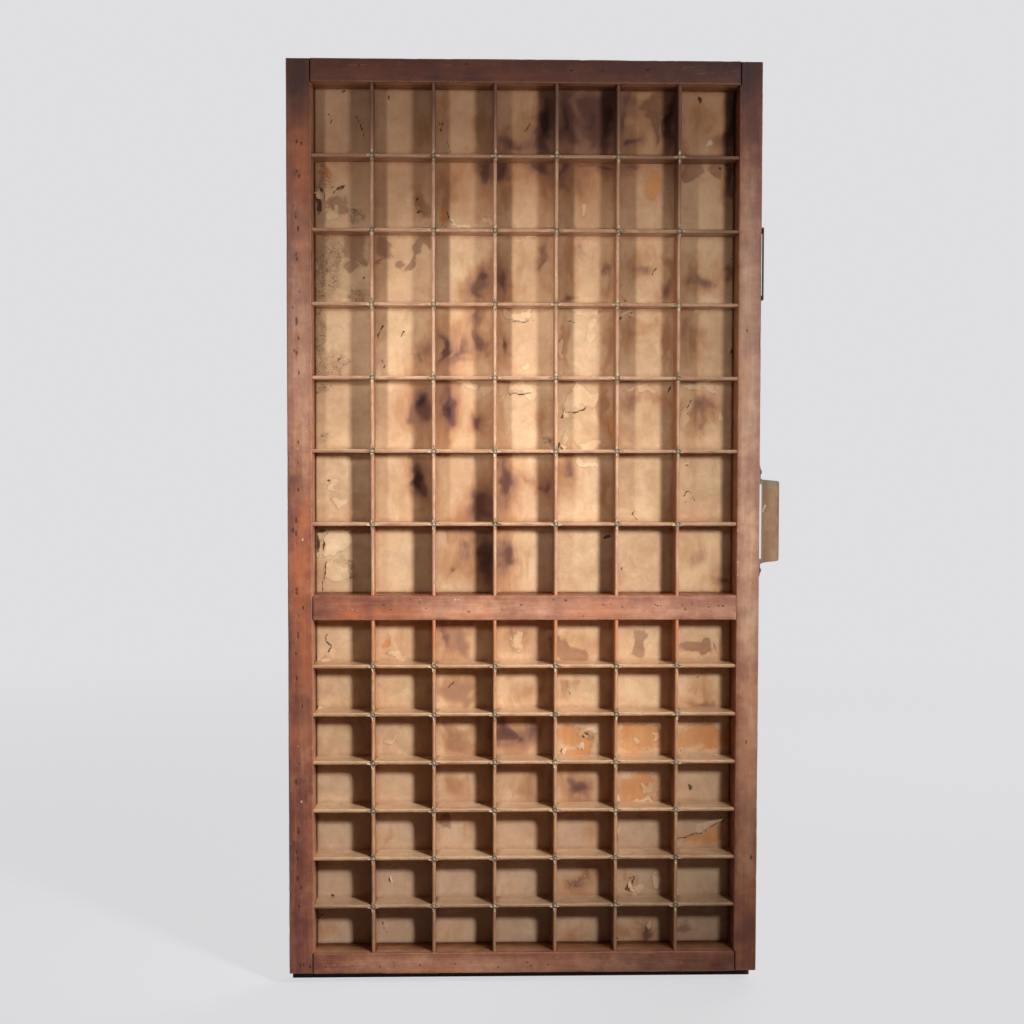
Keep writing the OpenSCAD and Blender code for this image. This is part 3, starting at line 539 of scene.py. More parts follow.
# Brown tones; the cell-sized spots from (-118, 517) to the end, over whole compartments or their right halves,
# are painted shade.
TONED_AND_SHADE = (
    (-101, 774, 15, 32, 0.4), (-79, 792, 9, 27, 0.4), (-44, 776, 11, 31, 0.55), (-27, 757, 24, 9, 0.6),
    (-2, 791, 4, 24, 0.4), (24, 775, 4, 16, 0.6), (86, 799, 11, 11, 0.6), (106, 785, 8, 20, 0.6),
    (109, 767, 5, 11, 0.5), (149, 787, 18, 27, 0.5), (-172, 736, 13, 9, 0.3), (-102, 716, 8, 18, 0.45),
    (-79, 721, 8, 24, 0.55), (-61, 739, 16, 18, 0.35), (-43, 721, 9, 24, 0.5), (-24, 719, 8, 25, 0.5),
    (9, 723, 8, 24, 0.6), (29, 712, 7, 24, 0.35), (62, 721, 5, 25, 0.25), (79, 713, 7, 18, 0.3),
    (121, 713, 5, 27, 0.35), (32, 656, 9, 31, 0.4), (88, 651, 9, 20, 0.4), (121, 648, 6, 18, 0.65),
    (100, 663, 13, 11, 0.3), (145, 657, 11, 16, 0.3), (63, 654, 5, 22, 0.4), (-86, 581, 8, 29, 0.5),
    (-102, 576, 7, 22, 0.45), (-32, 577, 9, 27, 0.5), (28, 581, 6, 25, 0.6), (67, 582, 6, 29, 0.6),
    (87, 586, 11, 25, 0.45), (105, 600, 15, 9, 0.3), (123, 582, 5, 25, 0.6), (146, 582, 15, 27, 0.45),
    (-27, 513, 7, 31, 0.4), (5, 515, 6, 27, 0.4), (110, 535, 16, 11, 0.35), (126, 514, 5, 25, 0.55),
    (156, 514, 13, 18, 0.4), (63, 522, 5, 31, 0.6), (-50, 504, 7, 18, 0.4), (5, 454, 7, 25, 0.4),
    (65, 450, 6, 24, 0.5), (124, 450, 5, 24, 0.35), (-72, 399, 15, 27, 0.35), (-13, 385, 16, 24, 0.3),
    (152, 385, 13, 22, 0.2), (-72, 312, 20, 16, 0.75), (-54, 326, 7, 7, 0.5), (-72, 266, 20, 16, 0.9),
    (-57, 257, 5, 15, 0.5), (28, 273, 7, 7, 0.4), (153, 266, 20, 18, 0.35), (143, 254, 7, 3, 0.5),
    (160, 256, 7, 3, 0.5), (-72, 222, 20, 16, 0.85), (-72, 178, 18, 14, 0.5), (-82, 142, 3, 5, 0.6),
    (-31, 181, 15, 13, 0.15), (-5, 175, 5, 11, 0.4), (38, 84, 18, 13, 0.55), (85, 92, 9, 7, 0.35),
    (85, 75, 9, 5, 0.3), (-24, 81, 9, 11, 0.2), (-192, 43, 18, 13, 0.4), (38, 41, 18, 13, 0.4),
    (82, 41, 13, 13, 0.55), (99, 50, 5, 7, 0.6), (136, 42, 9, 11, 0.25), (-123, 44, 18, 11, 0.2),
    (-77, 44, 18, 11, 0.25), (46, 785, 27, 33, 0.35), (100, 785, 27, 33, 0.4), (-118, 517, 23, 29, 0.42),
    (-118, 452, 23, 29, 0.34), (-64, 452, 23, 29, 0.28), (-64, 714, 23, 29, 0.2), (-118, 313, 23, 18, 0.3),
    (-9, 313, 23, 18, 0.3), (46, 313, 23, 18, 0.34), (-9, 269, 23, 18, 0.36), (-4, 226, 20, 18, 0.34),
    (-2, 182, 20, 18, 0.36), (54, 182, 18, 18, 0.4), (-56, 139, 17, 17, 0.3), (0, 139, 17, 17, 0.3),
    (55, 139, 17, 17, 0.3), (56, 98, 17, 15, 0.36))
HOLE = (
    (-197, 401, 2.2, 10, 0.8), (-194, 412, 5.6, 1.4, 0.8), (-195, 706, 2.4, 8.5, 0.9),
    (-172, 808, 2.8, 1.5, 0.7), (-132, 803, 1.1, 2.4, 0.8), (-106, 700, 2.4, 1.5, 0.8),
    (-141, 726, 0.8, 0.9, 0.9), (-155, 642, 1.4, 1.4, 0.8), (-124, 678, 1.8, 1.4, 0.7),
    (22, 491, 1.3, 2.9, 1, -20), (79, 635, 0.8, 1.5, 1, 20), (88, 610, 1.3, 0.9, 1, 30),
    (78, 606, 0.8, 2.2, 1), (178, 658, 0.9, 3.2, 0.8), (179, 576, 1.5, 2.8, 0.8), (134, 680, 2.2, 1.1, 0.9),
    (149, 803, 1.9, 3.7, 0.9), (168, 741, 2.8, 1.9, 0.6), (67, 407, 5.3, 1.5, 1, 10),
    (22, 490, 1.2, 2.7, 1), (139, 475, 1.8, 1.2, 0.8), (81, 377, 2.1, 2.7, 0.6), (-201, 246, 1.6, 1.6, 0.9),
    (-191, 227, 1.2, 1.2, 0.5), (47, 223, 3.9, 1.3, 0.8), (26, 210, 0.8, 1.8, 0.8, -10),
    (45, 210, 0.8, 2.1, 0.8, 20), (144, 176, 1.7, 3.1, 1, 30), (78, 34, 1.3, 1.8, 0.8),
    (-186, 77, 2.1, 1.6, 0.9), (-193, 36, 1.2, 1.6, 0.7), (-146, 120, 1.2, 1.2, 0.9),
    (-136, 43, 1.3, 1, 0.8), (135, 209, 1.6, 1.3, 0.7), (-187, 458, 1.2, 1.6, 0.7, 20),
    (150, 277, 1.8, 0.8, 0.7))
CRACKS = (
    (-162.4, 786.4, -158.3, 782.8, -156, 775.5, -154.7, 768.3),
    (-185.8, 788.1, -182.6, 782.6, -184.9, 778.1),
    (-105.6, 715.6, -106.5, 710.1, -108.4, 705.5, -105.6, 701, -101.9, 700.1),
    (-187.4, 723.4, -177.3, 722.5, -170.8, 725.3), (-182.8, 717, -178.2, 719.8, -171.8, 723.5),
    (-195.6, 727, -192.9, 721.5, -195.7, 715.1, -197.5, 704.1),
    (-192.9, 721.5, -190.2, 713.3, -189.3, 707.8), (-80.1, 762.5, -76.2, 755.6),
    (-83.1, 780.2, -85.4, 772.3, -87, 784.1), (-81.1, 705.3, -78.4, 697.4, -75.1, 691.5),
    (-3.6, 780.8, -8.9, 774.2, -10.2, 775.5), (-137.3, 598.2, -140.7, 593.7, -141.8, 586.4),
    (-137.9, 567.9, -137.1, 560), (-118.2, 593.8, -121.5, 588.2),
    (26.8, 528.5, 27.9, 520.1, 37.3, 520.2, 46.7, 524.4), (-23.5, 602.2, -17.3, 602.2, -0.6, 603.3),
    (29.7, 602.4, 37, 602.4), (36.3, 493.5, 39, 488.8), (-24.5, 537.7, -19.2, 537.2, -2.5, 537.8),
    (106.7, 644.2, 110.4, 651.6), (79.3, 626.6, 81.7, 622, 84.5, 621.1),
    (91.1, 432, 88.9, 426.8, 93.4, 423.1), (136.6, 444, 138.8, 448.4, 144.7, 447),
    (138.8, 441, 136.6, 435.8), (145.5, 444, 147.3, 439.5), (47.3, 411.2, 47.7, 406, 52.5, 405.5),
    (123.7, 544.1, 122.6, 538.2),
    (-188.5, 318.8, -191.1, 314.9, -189.8, 310.3, -185.4, 307.6, -187.3, 301.7),
    (-199, 296.5, -198.1, 293.1, -185.7, 291.8), (-197.9, 258.9, -195.7, 250.3, -190.4, 248.7),
    (77.2, 133.7, 75.9, 129.1, 77.5, 124),
    (131.9, 127.2, 146.5, 130.3, 157.8, 135.1, 159.8, 139.1, 175.7, 145.7),
    (88, 91.3, 93.6, 92.6, 91.2, 86.2, 92.6, 80.5, 96.6, 75.4), (135.7, 160.8, 139.7, 160.4),
    (-199, 55.6, -190.4, 59.9), (-138.4, 52.8, -137.8, 46.1),
    (-188.7, 384.2, -190.7, 375, -193.3, 364.5, -192, 358), (-171.1, 376.3, -167.2, 368.4),
    (143.5, 532.3, 139.8, 526.4, 139.1, 519), (33.3, 261.6, 30.7, 265.6), (-73.1, 273.8, -77, 268.5))
uprights = [sum(e.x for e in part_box(f"upper_upright_{i}")) / 2 for i in range(1, 7)]
shelves = {field: [sum(e.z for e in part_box(f"{field}_shelf_{i}")) / 2 for i in range(1, 7)]
           for field in ("upper", "lower")}


def sheet_noise(x, z, size, seed):
    """Random numbers from 0 to 1 on a square lattice size apart, joined by the smoothstep curve both ways."""
    period = 512
    values = np.random.default_rng(seed).random((period, period))
    wx, wz = np.floor(x / size), np.floor(z / size)
    fx, fz = x / size - wx, z / size - wz
    fx, fz = fx * fx * (3 - 2 * fx), fz * fz * (3 - 2 * fz)
    i, j = wx.astype(int) % period, wz.astype(int) % period
    next_i, next_j = (i + 1) % period, (j + 1) % period
    low = values[i, j] * (1 - fx) + values[next_i, j] * fx
    high = values[i, next_j] * (1 - fx) + values[next_i, next_j] * fx
    return low * (1 - fz) + high * fz


def drifted(x, z, size, reach, seed):
    """The points moved by up to reach along two smooth noises, so that shapes read there lose their even
    outlines."""
    across = x + reach * (2 * sheet_noise(x, z, size, seed) - 1)
    return across, z + reach * (2 * sheet_noise(z, x, size, seed + 1) - 1)


def hard_spots(x, z, spots):
    """Spots with an edge: the largest strength * (1.5 - reach), which passes 0.5 at the edge of a full spot."""
    most = np.zeros_like(x)
    for spot in spots:
        most = np.maximum(most, spot[STRENGTH] * (1.5 - spot_reach(x, z, spot)))
    return most


def line_distance(x, z, lines):
    """Distance in millimetres to the nearest of many broken lines, each x, z, x, z and so on, 5 at most."""
    nearest = np.full_like(x, 5.0)
    for line in lines:
        for ax, az, bx, bz in zip(line[::2], line[1::2], line[2::2], line[3::2]):
            run = (bx - ax) ** 2 + (bz - az) ** 2
            t = np.clip(((x - ax) * (bx - ax) + (z - az) * (bz - az)) / run, 0, 1)
            nearest = np.minimum(nearest, np.hypot(x - ax - t * (bx - ax), z - az - t * (bz - az)))
    return nearest


def edge_distance(values, walls):
    """Distance to the nearest wall along one axis."""
    return np.min([np.abs(values - wall) for wall in walls], axis=0)


def paper_sheet(field, pitch, seed):
    """One lining: blisters up to 0.55 mm high between the strips, peeled layers raised by 0.3 mm and the lips
    of cracks by 0.25 mm, and torn places sunk by 0.25 mm. Its spots lie at drifted places."""
    node = field + "_lining"
    low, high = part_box(node)
    nx, nz = round((high.x - low.x) / pitch) + 1, round((high.z - low.z) / pitch) + 1
    lines = np.linspace(low.x, high.x, nx), np.linspace(low.z, high.z, nz)
    x, z = [places.ravel() for places in np.meshgrid(*lines, indexing="ij")]
    xm, zm = x / MM, z / MM
    half_strip, border = 1.6, 0.4
    beyond = (half_strip + border) * MM
    columns = [low.x - beyond, *uprights, high.x + beyond]
    rows = [low.z - beyond, *shelves[field], high.z + beyond]
    edge = np.minimum(edge_distance(x, columns), edge_distance(z, rows)) / MM - half_strip
    free = np.clip(edge / 7, 0, 1) ** 2
    rough = sheet_noise(xm + 500, zm, 2.6, 5) - 0.5
    wide = drifted(*drifted(xm, zm, 17, 6.0, 11), 5.5, 3.0, 21)
    near = drifted(xm, zm, 4.5, 1.2, 31)
    halos = [(across, up, 1.6 * rx + 4, 1.5 * rz + 6, 0.75 * strength, *turn)
             for across, up, rx, rz, strength, *turn in SOOT_AND_SHADE]
    marks = {"soot_and_shade": soft_spots(*wide, SOOT_AND_SHADE), "mould": soft_spots(*wide, MOULD),
             "toned_and_shade": np.maximum(soft_spots(*wide, TONED_AND_SHADE), soft_spots(*wide, halos)),
             "wet": hard_spots(*wide, WET), "bare": hard_spots(*wide, BARE), "peel": hard_spots(*wide, PEEL),
             "hole": hard_spots(*near, HOLE), "crack": line_distance(*near, CRACKS),
             "edge": np.clip(edge, 0, 9)}
    cell = np.searchsorted(uprights, x) + 7 * np.searchsorted(shelves[field], z)
    marks["cell"] = np.random.default_rng(seed).random(49)[cell]
    blister, layer, lip, tear = 0.55, 0.3, 0.25, 0.25
    rise = blister * free * (sheet_noise(xm + 500, zm, 13, 1) * 0.7 + sheet_noise(xm + 500, zm, 5, 2) * 0.3)
    rise += layer * free * np.clip((marks["peel"] + rough * 0.25 - 0.45) * 8, 0, 1)
    rise += lip * free * np.clip(1 - marks["crack"] / 2.2, 0, 1)
    sunk = np.clip((marks["bare"] + rough * 0.25 - 0.45) * 6, 0, 1) * np.clip(edge / 2, 0, 1)
    y = low.y - rise * (1 - sunk) * MM + tear * sunk * MM
    front = np.stack([x, y, z], 1)
    quads, rim = net_faces(np.arange(nx * nz).reshape(nx, nz))
    behind = front[rim].copy()
    behind[:, 1] = high.y
    back = nx * nz + np.arange(len(rim))
    sides = np.stack([np.roll(rim, -1), rim, back, np.roll(back, -1)], 1)
    mesh = bpy.data.meshes.new(field + "_paper")
    faces = [*quads.tolist(), *sides.tolist(), back[::-1].tolist()]
    mesh.from_pydata(np.concatenate([front, behind]), [], faces)
    mesh.polygons.foreach_set("use_smooth", np.arange(len(mesh.polygons)) < len(quads))
    for name, values in marks.items():
        write_mark(mesh, name, np.concatenate([values, np.zeros(len(rim))]))
    sheet = new_object(field + "_paper", mesh)
    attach(sheet, "root")
    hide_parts(node)
    return sheet


def stained_paper(name):
    """Tan paper, darker along the strips with dirt and painted shade; over it brown tones and sooty patches,
    both in places painted shade, water stains with dark rims, bare ply, pale peeled layers edged with painted
    shadow, mould specks, and cracks and holes drawn dark with painted shade, each edge roughened by noise."""
    made, at = surface(name)
    soot_and_shade, toned_and_shade, wet, bare, peel = [at.mark(name) for name in ("soot_and_shade", "toned_and_shade", "wet", "bare", "peel")]
    mould, hole, crack, edge, cell = [at.mark(name) for name in ("mould", "hole", "crack", "edge", "cell")]
    fine = at.noise(1.1, 3, 0.6)
    ragged = at.noise(3.4, 4, 0.65) - 0.5
    mottle = at.noise(13, 5, 0.6, 0.6)
    cloud = at.moved(0, 0, 90).noise(34, 4, 0.55)
    runs = at.moved(8, 0, 40).times(1, 1, 0.4).noise(9, 5, 0.6, 0.5)
    tone = (mottle * 0.42 + cloud * 0.4 + cell * 0.14 + fine * 0.12).fade(0.36, 0.72)
    warm = (at.moved(77, 0, 12).noise(58, 3, 0.5) * 0.7 + cell * 0.3).fade(0.5, 0.7)
    pink = at.moved(21, 0, 66).noise(24, 4, 0.6).fade(0.5, 0.7)
    aged = (at.part(UP) + cloud * 60).fade(660, 800)
    dusty = (at.part(UP) + cloud * 40).fade(290, 120)
    umber = toned_and_shade * 1.3 + (runs - 0.5) * 0.9 + (mottle - 0.5) * 0.5
    deep = cell.between((144, 90, 60), (154, 104, 78))
    brown = umber.fade(0.35, 0.95).between((188, 133, 90), deep)
    # Darker along the strips, where shade falls: painted shade, and dirt.
    darkening = (edge + ragged * 6 + cloud * 4).fade(7.0, 1.0)
    foxing = at.moved(5, 5, 5).noise(3.6, 4, 0.7).fade(0.64, 0.74)
    patchy = ((runs - 0.5) * 0.9 + (mottle - 0.5) * 0.6) * soot_and_shade.fade(0.03, 0.3)
    # Sooty cover, in places painted shade.
    shade = (soot_and_shade * 1.4 + patchy + ragged * 0.25).fade(0.06, 0.95)
    mauve = soot_and_shade.fade(0.2, 0.7).between((138, 101, 88), (106, 71, 62))
    stain = soot_and_shade.fade(0.7, 0.95).between(mauve, (54, 35, 33))
    damp = wet + ragged * 0.7 + (cloud - 0.5) * 0.8 + (runs - 0.5) * 0.5
    tide = damp.fade(0.36, 0.58) * damp.fade(0.95, 0.6)
    veneer = (grain_space(at, UP, 3).noise(5, 3, 0.5) * 0.3 + cloud * 0.7).fade(0.38, 0.66)
    ply = veneer.between((196, 126, 68), (216, 152, 92))
    torn = (bare + ragged * 1.3 + (mottle - 0.5) * 1.0).fade(0.18, 0.74)
    layer = peel + ragged * 0.95 + (mottle - 0.5) * 0.4 + (fine - 0.5) * 0.25
    lifted = layer.fade(0.43, 0.57)
    # A thin dark line round each lifted layer: painted shadow under its edge.
    lip = layer.fade(0.4, 0.48) * layer.fade(0.56, 0.49)
    scurf = (mould + ragged * 0.6).fade(0.15, 0.6)
    clump = at.noise(1.5, 4, 0.7, 0.8) + (at.moved(30, 0, 3).noise(5, 3, 0.6) - 0.5) * 0.55
    bright = clump.fade(0.42, 0.36) * scurf
    # Cracks and holes drawn dark: painted shade in the gaps, and dirt.
    gap = (crack + ragged * 1.7).fade(0.75, 0.3).larger((hole + ragged * 0.9).fade(0.44, 0.74))
    colour = painted(
        tone.between((196, 157, 120), (231, 198, 157)),
        (warm * 0.25, (208, 150, 106)),
        (pink * 0.35, (200, 154, 132)),
        (aged * 0.42, (194, 132, 100)),
        (dusty * 0.38, (176, 152, 136)),
        # Brown tones, in places painted shade.
        (umber.fade(0.05, 0.6) * 0.72, brown),
        (darkening * 0.38, (134, 92, 66)),
        (foxing * 0.3, (140, 92, 64)),
        (shade * 0.93, stain),
        (damp.fade(0.1, 0.9) * (mottle * 0.85 + 0.2), (134, 90, 66)),
        (tide * 0.2, (92, 56, 42)),
        (torn * (mottle * 0.75 + 0.36), ply),
        (lifted * (cloud * 0.5 + mottle * 0.6), tone.between((224, 186, 144), (240, 214, 176))),
        (lip * 0.16, (140, 94, 66)),
        (scurf * mottle.fade(0.4, 0.6) * 0.5, (138, 98, 70)),
        (clump.fade(0.55, 0.62) * scurf * 0.8, (92, 60, 44)),
        (bright * 0.6, (238, 212, 182)),
        (gap * 0.84, (62, 36, 26)))
    height = fine * 0.5 + mottle * 0.8 + lifted * 1.3 - torn * 1.3 - gap * 2 + bright
    close_surface(at, colour, 0.86 - torn * 0.15, height, 0.25 * MM, Specular_IOR_Level=0.15)
    return made


paper = stained_paper("stained_paper")
for seed, field in enumerate(("upper", "lower"), 1):
    dress(paper_sheet(field, 1.42 * MM, seed), paper)

# Torn paper
# Where the linings are torn, small tongues of the same paper stand up and curl away from the board. Each one:
# across, up, length, width, turn in degrees and curl in radians.
FLAKES = (
    (150, 136, 24, 9, 24, 0.7), (-193, 716, 8, 9, 200, 1.6), (-187, 700, 7, 8, 70, 1.1),
    (46, 224, 7, 6, 40, 1.5), (29, 209, 5, 6, 150, 1.2), (79, 166, 5, 6, 200, 1.4),
    (92, 84, 6, 11, 195, 1.5), (31, 520, 8, 8, 215, 0.9), (27, 490, 5, 6, 250, 1.5),
    (-195, 249, 6, 5, 120, 1.4), (164, 306, 4, 12, 10, 1.6), (-190, 293, 6, 9, 95, 0.8),
    (-194, 398, 5, 14, 0, 1.3), (139, 475, 5, 4, 300, 1.4), (88, 610, 5, 5, 260, 1.3),
    (-130, 92, 3, 8, 190, 1.6))


def curled_flakes(flakes, base):
    """Tongues rolled to arcs: at a = curl u they reach r sin a along the board and r (1 - cos a) out of it,
    with r = length / curl; both faces are 0.18 mm apart, and the width falls off as 1 - 0.75 u^1.5."""
    u, v = np.meshgrid(np.linspace(0, 1, 9), np.linspace(-0.5, 0.5, 7), indexing="ij")
    front, rim = net_faces(np.arange(u.size).reshape(u.shape))
    shut = np.stack([np.roll(rim, -1), rim, rim + u.size, np.roll(rim, -1) + u.size], 1)
    faces = np.concatenate([front, front[:, ::-1] + u.size, shut])
    points, thickness = [], 0.18
    for i, (across, up, length, width, turn, curl) in enumerate(flakes):
        c, s = math.cos(math.radians(turn)), math.sin(math.radians(turn))
        torn = length * (0.7 + 0.5 * smooth_noise(v * 7 + 9, 1.3, 700 + i))
        a = curl * u * (0.75 + 0.5 * smooth_noise(v * 5 + 9, 2.0, 720 + i))
        run, out = torn / curl * np.sin(a), torn / curl * (1 - np.cos(a))
        half = width * v * (1 - 0.75 * u ** 1.5) * (0.85 + 0.3 * smooth_noise(u * 7 + 9, 1.1, 740 + i))
        face = np.stack([across + c * run - s * half, base - out, up + s * run + c * half], -1)
        back = face + thickness * np.stack([c * np.sin(a), np.cos(a), s * np.sin(a)], -1)
        points.append(np.concatenate([face.reshape(-1, 3), back.reshape(-1, 3)]) * MM)
    every = np.concatenate([faces + 2 * u.size * i for i in range(len(points))])
    mesh = bpy.data.meshes.new("paper_flakes")
    mesh.from_pydata(np.concatenate(points), [], every.tolist())
    mesh.shade_smooth()
    mesh.set_sharp_from_angle(angle=math.radians(60))
    for name, value in (("crack", 5.0), ("edge", 9.0), ("cell", 0.6), ("peel", 0.8)):
        write_mark(mesh, name, np.full(len(mesh.vertices), value))
    piece = new_object("paper_flakes", mesh)
    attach(piece, "root")
    return piece


dress(curled_flakes(FLAKES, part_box("upper_lining")[0].y / MM - 0.3), paper)

# Compartment strips
# Uprights and shelves of thin pale maple, halved into each other and let into the rails, their front edges
# rounded. The wood is bare, dirty in its corners and dented along its crests.
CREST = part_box("upper_shelf_1")[0].y


def strip_wear(points, along, seed):
    """Dents the crest: points near it go back where a fine noise along the strip peaks."""
    worn = points.copy()
    run = points[:, along]
    near = np.clip(1 - (points[:, DEPTH] - CREST) / (2.4 * MM), 0, 1)
    dent = 1.6 * MM * np.clip(smooth_noise(run, 3.5 * MM, seed + 900) - 0.72, 0, 1)
    low_spot = 0.25 * MM * smooth_noise(run, 30 * MM, seed + 950)
    worn[:, DEPTH] += (dent + low_spot) * near ** 2
    return worn


def bare_strip(name, along):
    """Bare maple, in tints of its own on the crest. The uprights are glazed orange beside the middle bar, the
    shelves' upper faces carry painted light and sheen from above, and both are darker at the tray's top, from
    smoky deposits and painted shade where less light falls, and dull at its foot."""
    made, at = surface(name)
    grain = grain_space(at, along, 7 + along)
    bands = grain.noise(3.5, 4, 0.6, 0.5)
    fibre = grain.noise(0.6, 4, 0.65)
    cloud = at.noise(17, 4, 0.6)
    tone = (bands * 0.4 + fibre * 0.25 + cloud * 0.4).fade(0.42, 0.64)
    crest = (at.part(DEPTH) - CREST / MM + cloud * 2).fade(4.0, 1.0)
    rough = 0.36 + crest * 0.22 + fibre * 0.05
    if along == UP:
        glaze = (at.part(UP) + cloud * 30).fade(285, 335) * (at.part(UP) + cloud * 30).fade(400, 350)
        behind = tone.between((146, 92, 62), (196, 140, 98))
        below = tone.between((186, 132, 94), (222, 170, 126))
        above = tone.between((184, 134, 104), (222, 178, 142))
        front, top_darkening = at.part(UP).fade(335, 350).between(below, above), 0.86
        own_coat = (glaze * 0.7, (204, 126, 78))
    else:
        # Painted light: the shelves' upper faces, turned to the lamps, are painted pale for the light and sheen
        # on them.
        upper = at.node("TexCoord", {}, {}, "Normal").part(UP).fade(0.3, 0.8)
        behind = tone.between((180, 130, 94), (222, 176, 132))
        below = tone.between((178, 126, 90), (224, 174, 128))
        above = tone.between((166, 118, 92), (212, 164, 130))
        front, top_darkening = at.part(UP).fade(330, 360).between(below, above), 0.7
        own_coat = (upper * 0.9, tone.between((236, 194, 150), (250, 220, 180)))
        rough = rough - upper * 0.13
    tinge = at.moved(3, 9, 27).noise(52, 3, 0.5).fade(0.5, 0.66)
    # Darker at the tray's top and top right: smoky deposits, and painted shade where less light falls.
    smoke_and_shade = (at.part(UP) + cloud * 60).fade(755, 830).larger(
        (at.part(UP) + at.part(ACROSS) + cloud * 40).fade(790, 900))
    foot = (at.part(UP) + cloud * 40).fade(150, 80)
    darkening = (cloud * 0.7 + at.noise(3.2, 4, 0.7) * 0.4).fade(0.58, 0.74)
    colour = painted(
        crest.between(behind, front),
        own_coat,
        (tinge * 0.3, (178, 112, 74)),
        (smoke_and_shade * top_darkening, (98, 58, 46)),
        (foot * 0.4, (112, 76, 58)),
        (darkening * 0.4, (122, 78, 56)))
    close_surface(at, colour, rough, fibre * 0.6 + bands * 0.4, 0.06 * MM, Specular_IOR_Level=0.5)
    return made


strip_wood = {UP: bare_strip("upright_wood", UP), ACROSS: bare_strip("shelf_wood", ACROSS)}
for field in ("upper", "lower"):
    for kind, along in (("upright", UP), ("shelf", ACROSS)):
        for i in range(1, 7):
            node = f"{field}_{kind}_{i}"
            seed = i + 10 * along + (100 if field == "upper" else 0)
            strip = worn_copy(node, along, 3.5 * MM, [(DEPTH, CREST + 2.4 * MM)], strip_wear, seed)
            dress(strip, strip_wood[along])


# Crossing clips and their nails
# A stamped four-pointed brass star lies over every crossing, dished by the round-headed nail through its
# middle. Its arms widen a little at their blunt ends, and its rim is turned up.
def pressed_star(field):
    """Rings round each of 36 crossings: reach(a) = waist + (arm - waist) |cos 2a|^6, and a dish, lowest at 0.4
    of the reach, whose rim rises by 0.62 mm and rolls over; the under side is the same 0.3 mm further back."""
    low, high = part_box(field + "_clips")
    points = np.array([(x, z) for z in shelves[field] for x in uprights])
    arm = (high.x - low.x - (uprights[-1] - uprights[0])) / 2
    waist, thickness = 2.5 * MM, 0.3 * MM
    turns = np.linspace(0, math.tau, 32, endpoint=False)
    outline = waist + (arm - waist) * np.abs(np.cos(2 * turns)) ** 6
    rings = np.array([0.12, 0.4, 0.75, 0.93, 1.0])
    rise = np.array([0.25, 0.0, 0.35, 0.62, 0.45]) * MM
    across = (rings[:, None] * outline * np.cos(turns)).ravel()
    up = (rings[:, None] * outline * np.sin(turns)).ravel()
    front = low.y + rise.max() - np.repeat(rise, len(turns))
    star = np.concatenate([np.stack([across, face, up], 1) for face in (front, front + thickness)])
    n, k = len(turns), np.arange(len(turns))
    faces = []
    for ring in range(len(rings) - 1):
        inner, outer = ring * n + k, (ring + 1) * n + k
        faces += np.stack([inner, outer, np.roll(outer, -1), np.roll(inner, -1)], 1).tolist()
    under = len(rings) * n
    faces += [[under + v for v in reversed(face)] for face in faces]
    rim = (len(rings) - 1) * n + k
    faces += np.stack([rim, under + rim, np.roll(under + rim, -1), np.roll(rim, -1)], 1).tolist()
    faces += [k[::-1].tolist(), (under + k).tolist()]
    shift = np.random.default_rng(len(field)).normal(0, 0.25 * MM, (len(points), 2))
    places = np.insert(points + shift, 1, 0.0, axis=1)
    verts = (star[None] + places[:, None]).reshape(-1, 3)
    every = [[v + i * len(star) for v in face] for i in range(len(points)) for face in faces]
    mesh = bpy.data.meshes.new(field + "_stars")
    mesh.from_pydata(verts, [], every)
    mesh.shade_smooth()
    mesh.set_sharp_from_angle(angle=math.radians(50))
    write_mark(mesh, "hub", np.tile(np.hypot(star[:, 0], star[:, 2]) / MM, len(points)))
    stars = new_object(field + "_stars", mesh)
    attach(stars, "root")
    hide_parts(field + "_clips")
    return stars


def tarnished_metal(name, dark, bright, metal):
    """Cloudy metal between two tints, with a ring of painted shadow where a nail's head stands on its star."""
    made, at = surface(name)
    bloom = at.noise(3.4, 4, 0.6)
    fine = at.noise(0.8, 3, 0.6)
    colour = (bloom * 0.7 + fine * 0.3).fade(0.4, 0.62).between(dark, bright)
    hub = at.mark("hub")
    # Painted shadow: a dark ring round the nail's head on its star.
    colour = (hub.fade(1.2, 1.6) * hub.fade(2.6, 2.1) * 0.8).between(colour, (70, 56, 46))
    close_surface(at, colour, 0.45 + fine * 0.2, fine, 0.05 * MM, Metallic=metal)
    return made


brass = tarnished_metal("tarnished_brass", (136, 106, 78), (216, 186, 150), 0.3)
steel = tarnished_metal("nail_steel", (142, 122, 98), (200, 178, 146), 0.2)
for field in ("upper", "lower"):
    dress(pressed_star(field), brass)
    dress(nodes[field + "_clip_nails"], steel)

# Pull and its screws
# One piece of sheet steel pressed to a hood with two ears, lacquered olive brown. The lacquer is greyer beside
# the rail and darker at both ends; a grey band on the hood's rounded top end is painted sheen, and one bright
# line crosses it.
made, at = surface("olive_lacquer")
cloud = at.noise(9, 4, 0.6)
low, high = [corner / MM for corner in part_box("pull")]
streaks = (cloud + at.times(1, 1, 0.2).noise(6, 3, 0.5) - 0.5).fade(0.4, 0.65)
worn = (at.part(ACROSS) + cloud * 2).fade(low.x + 7.5, low.x + 4.0)
from_middle = at.part(UP) - (low.z + high.z) / 2
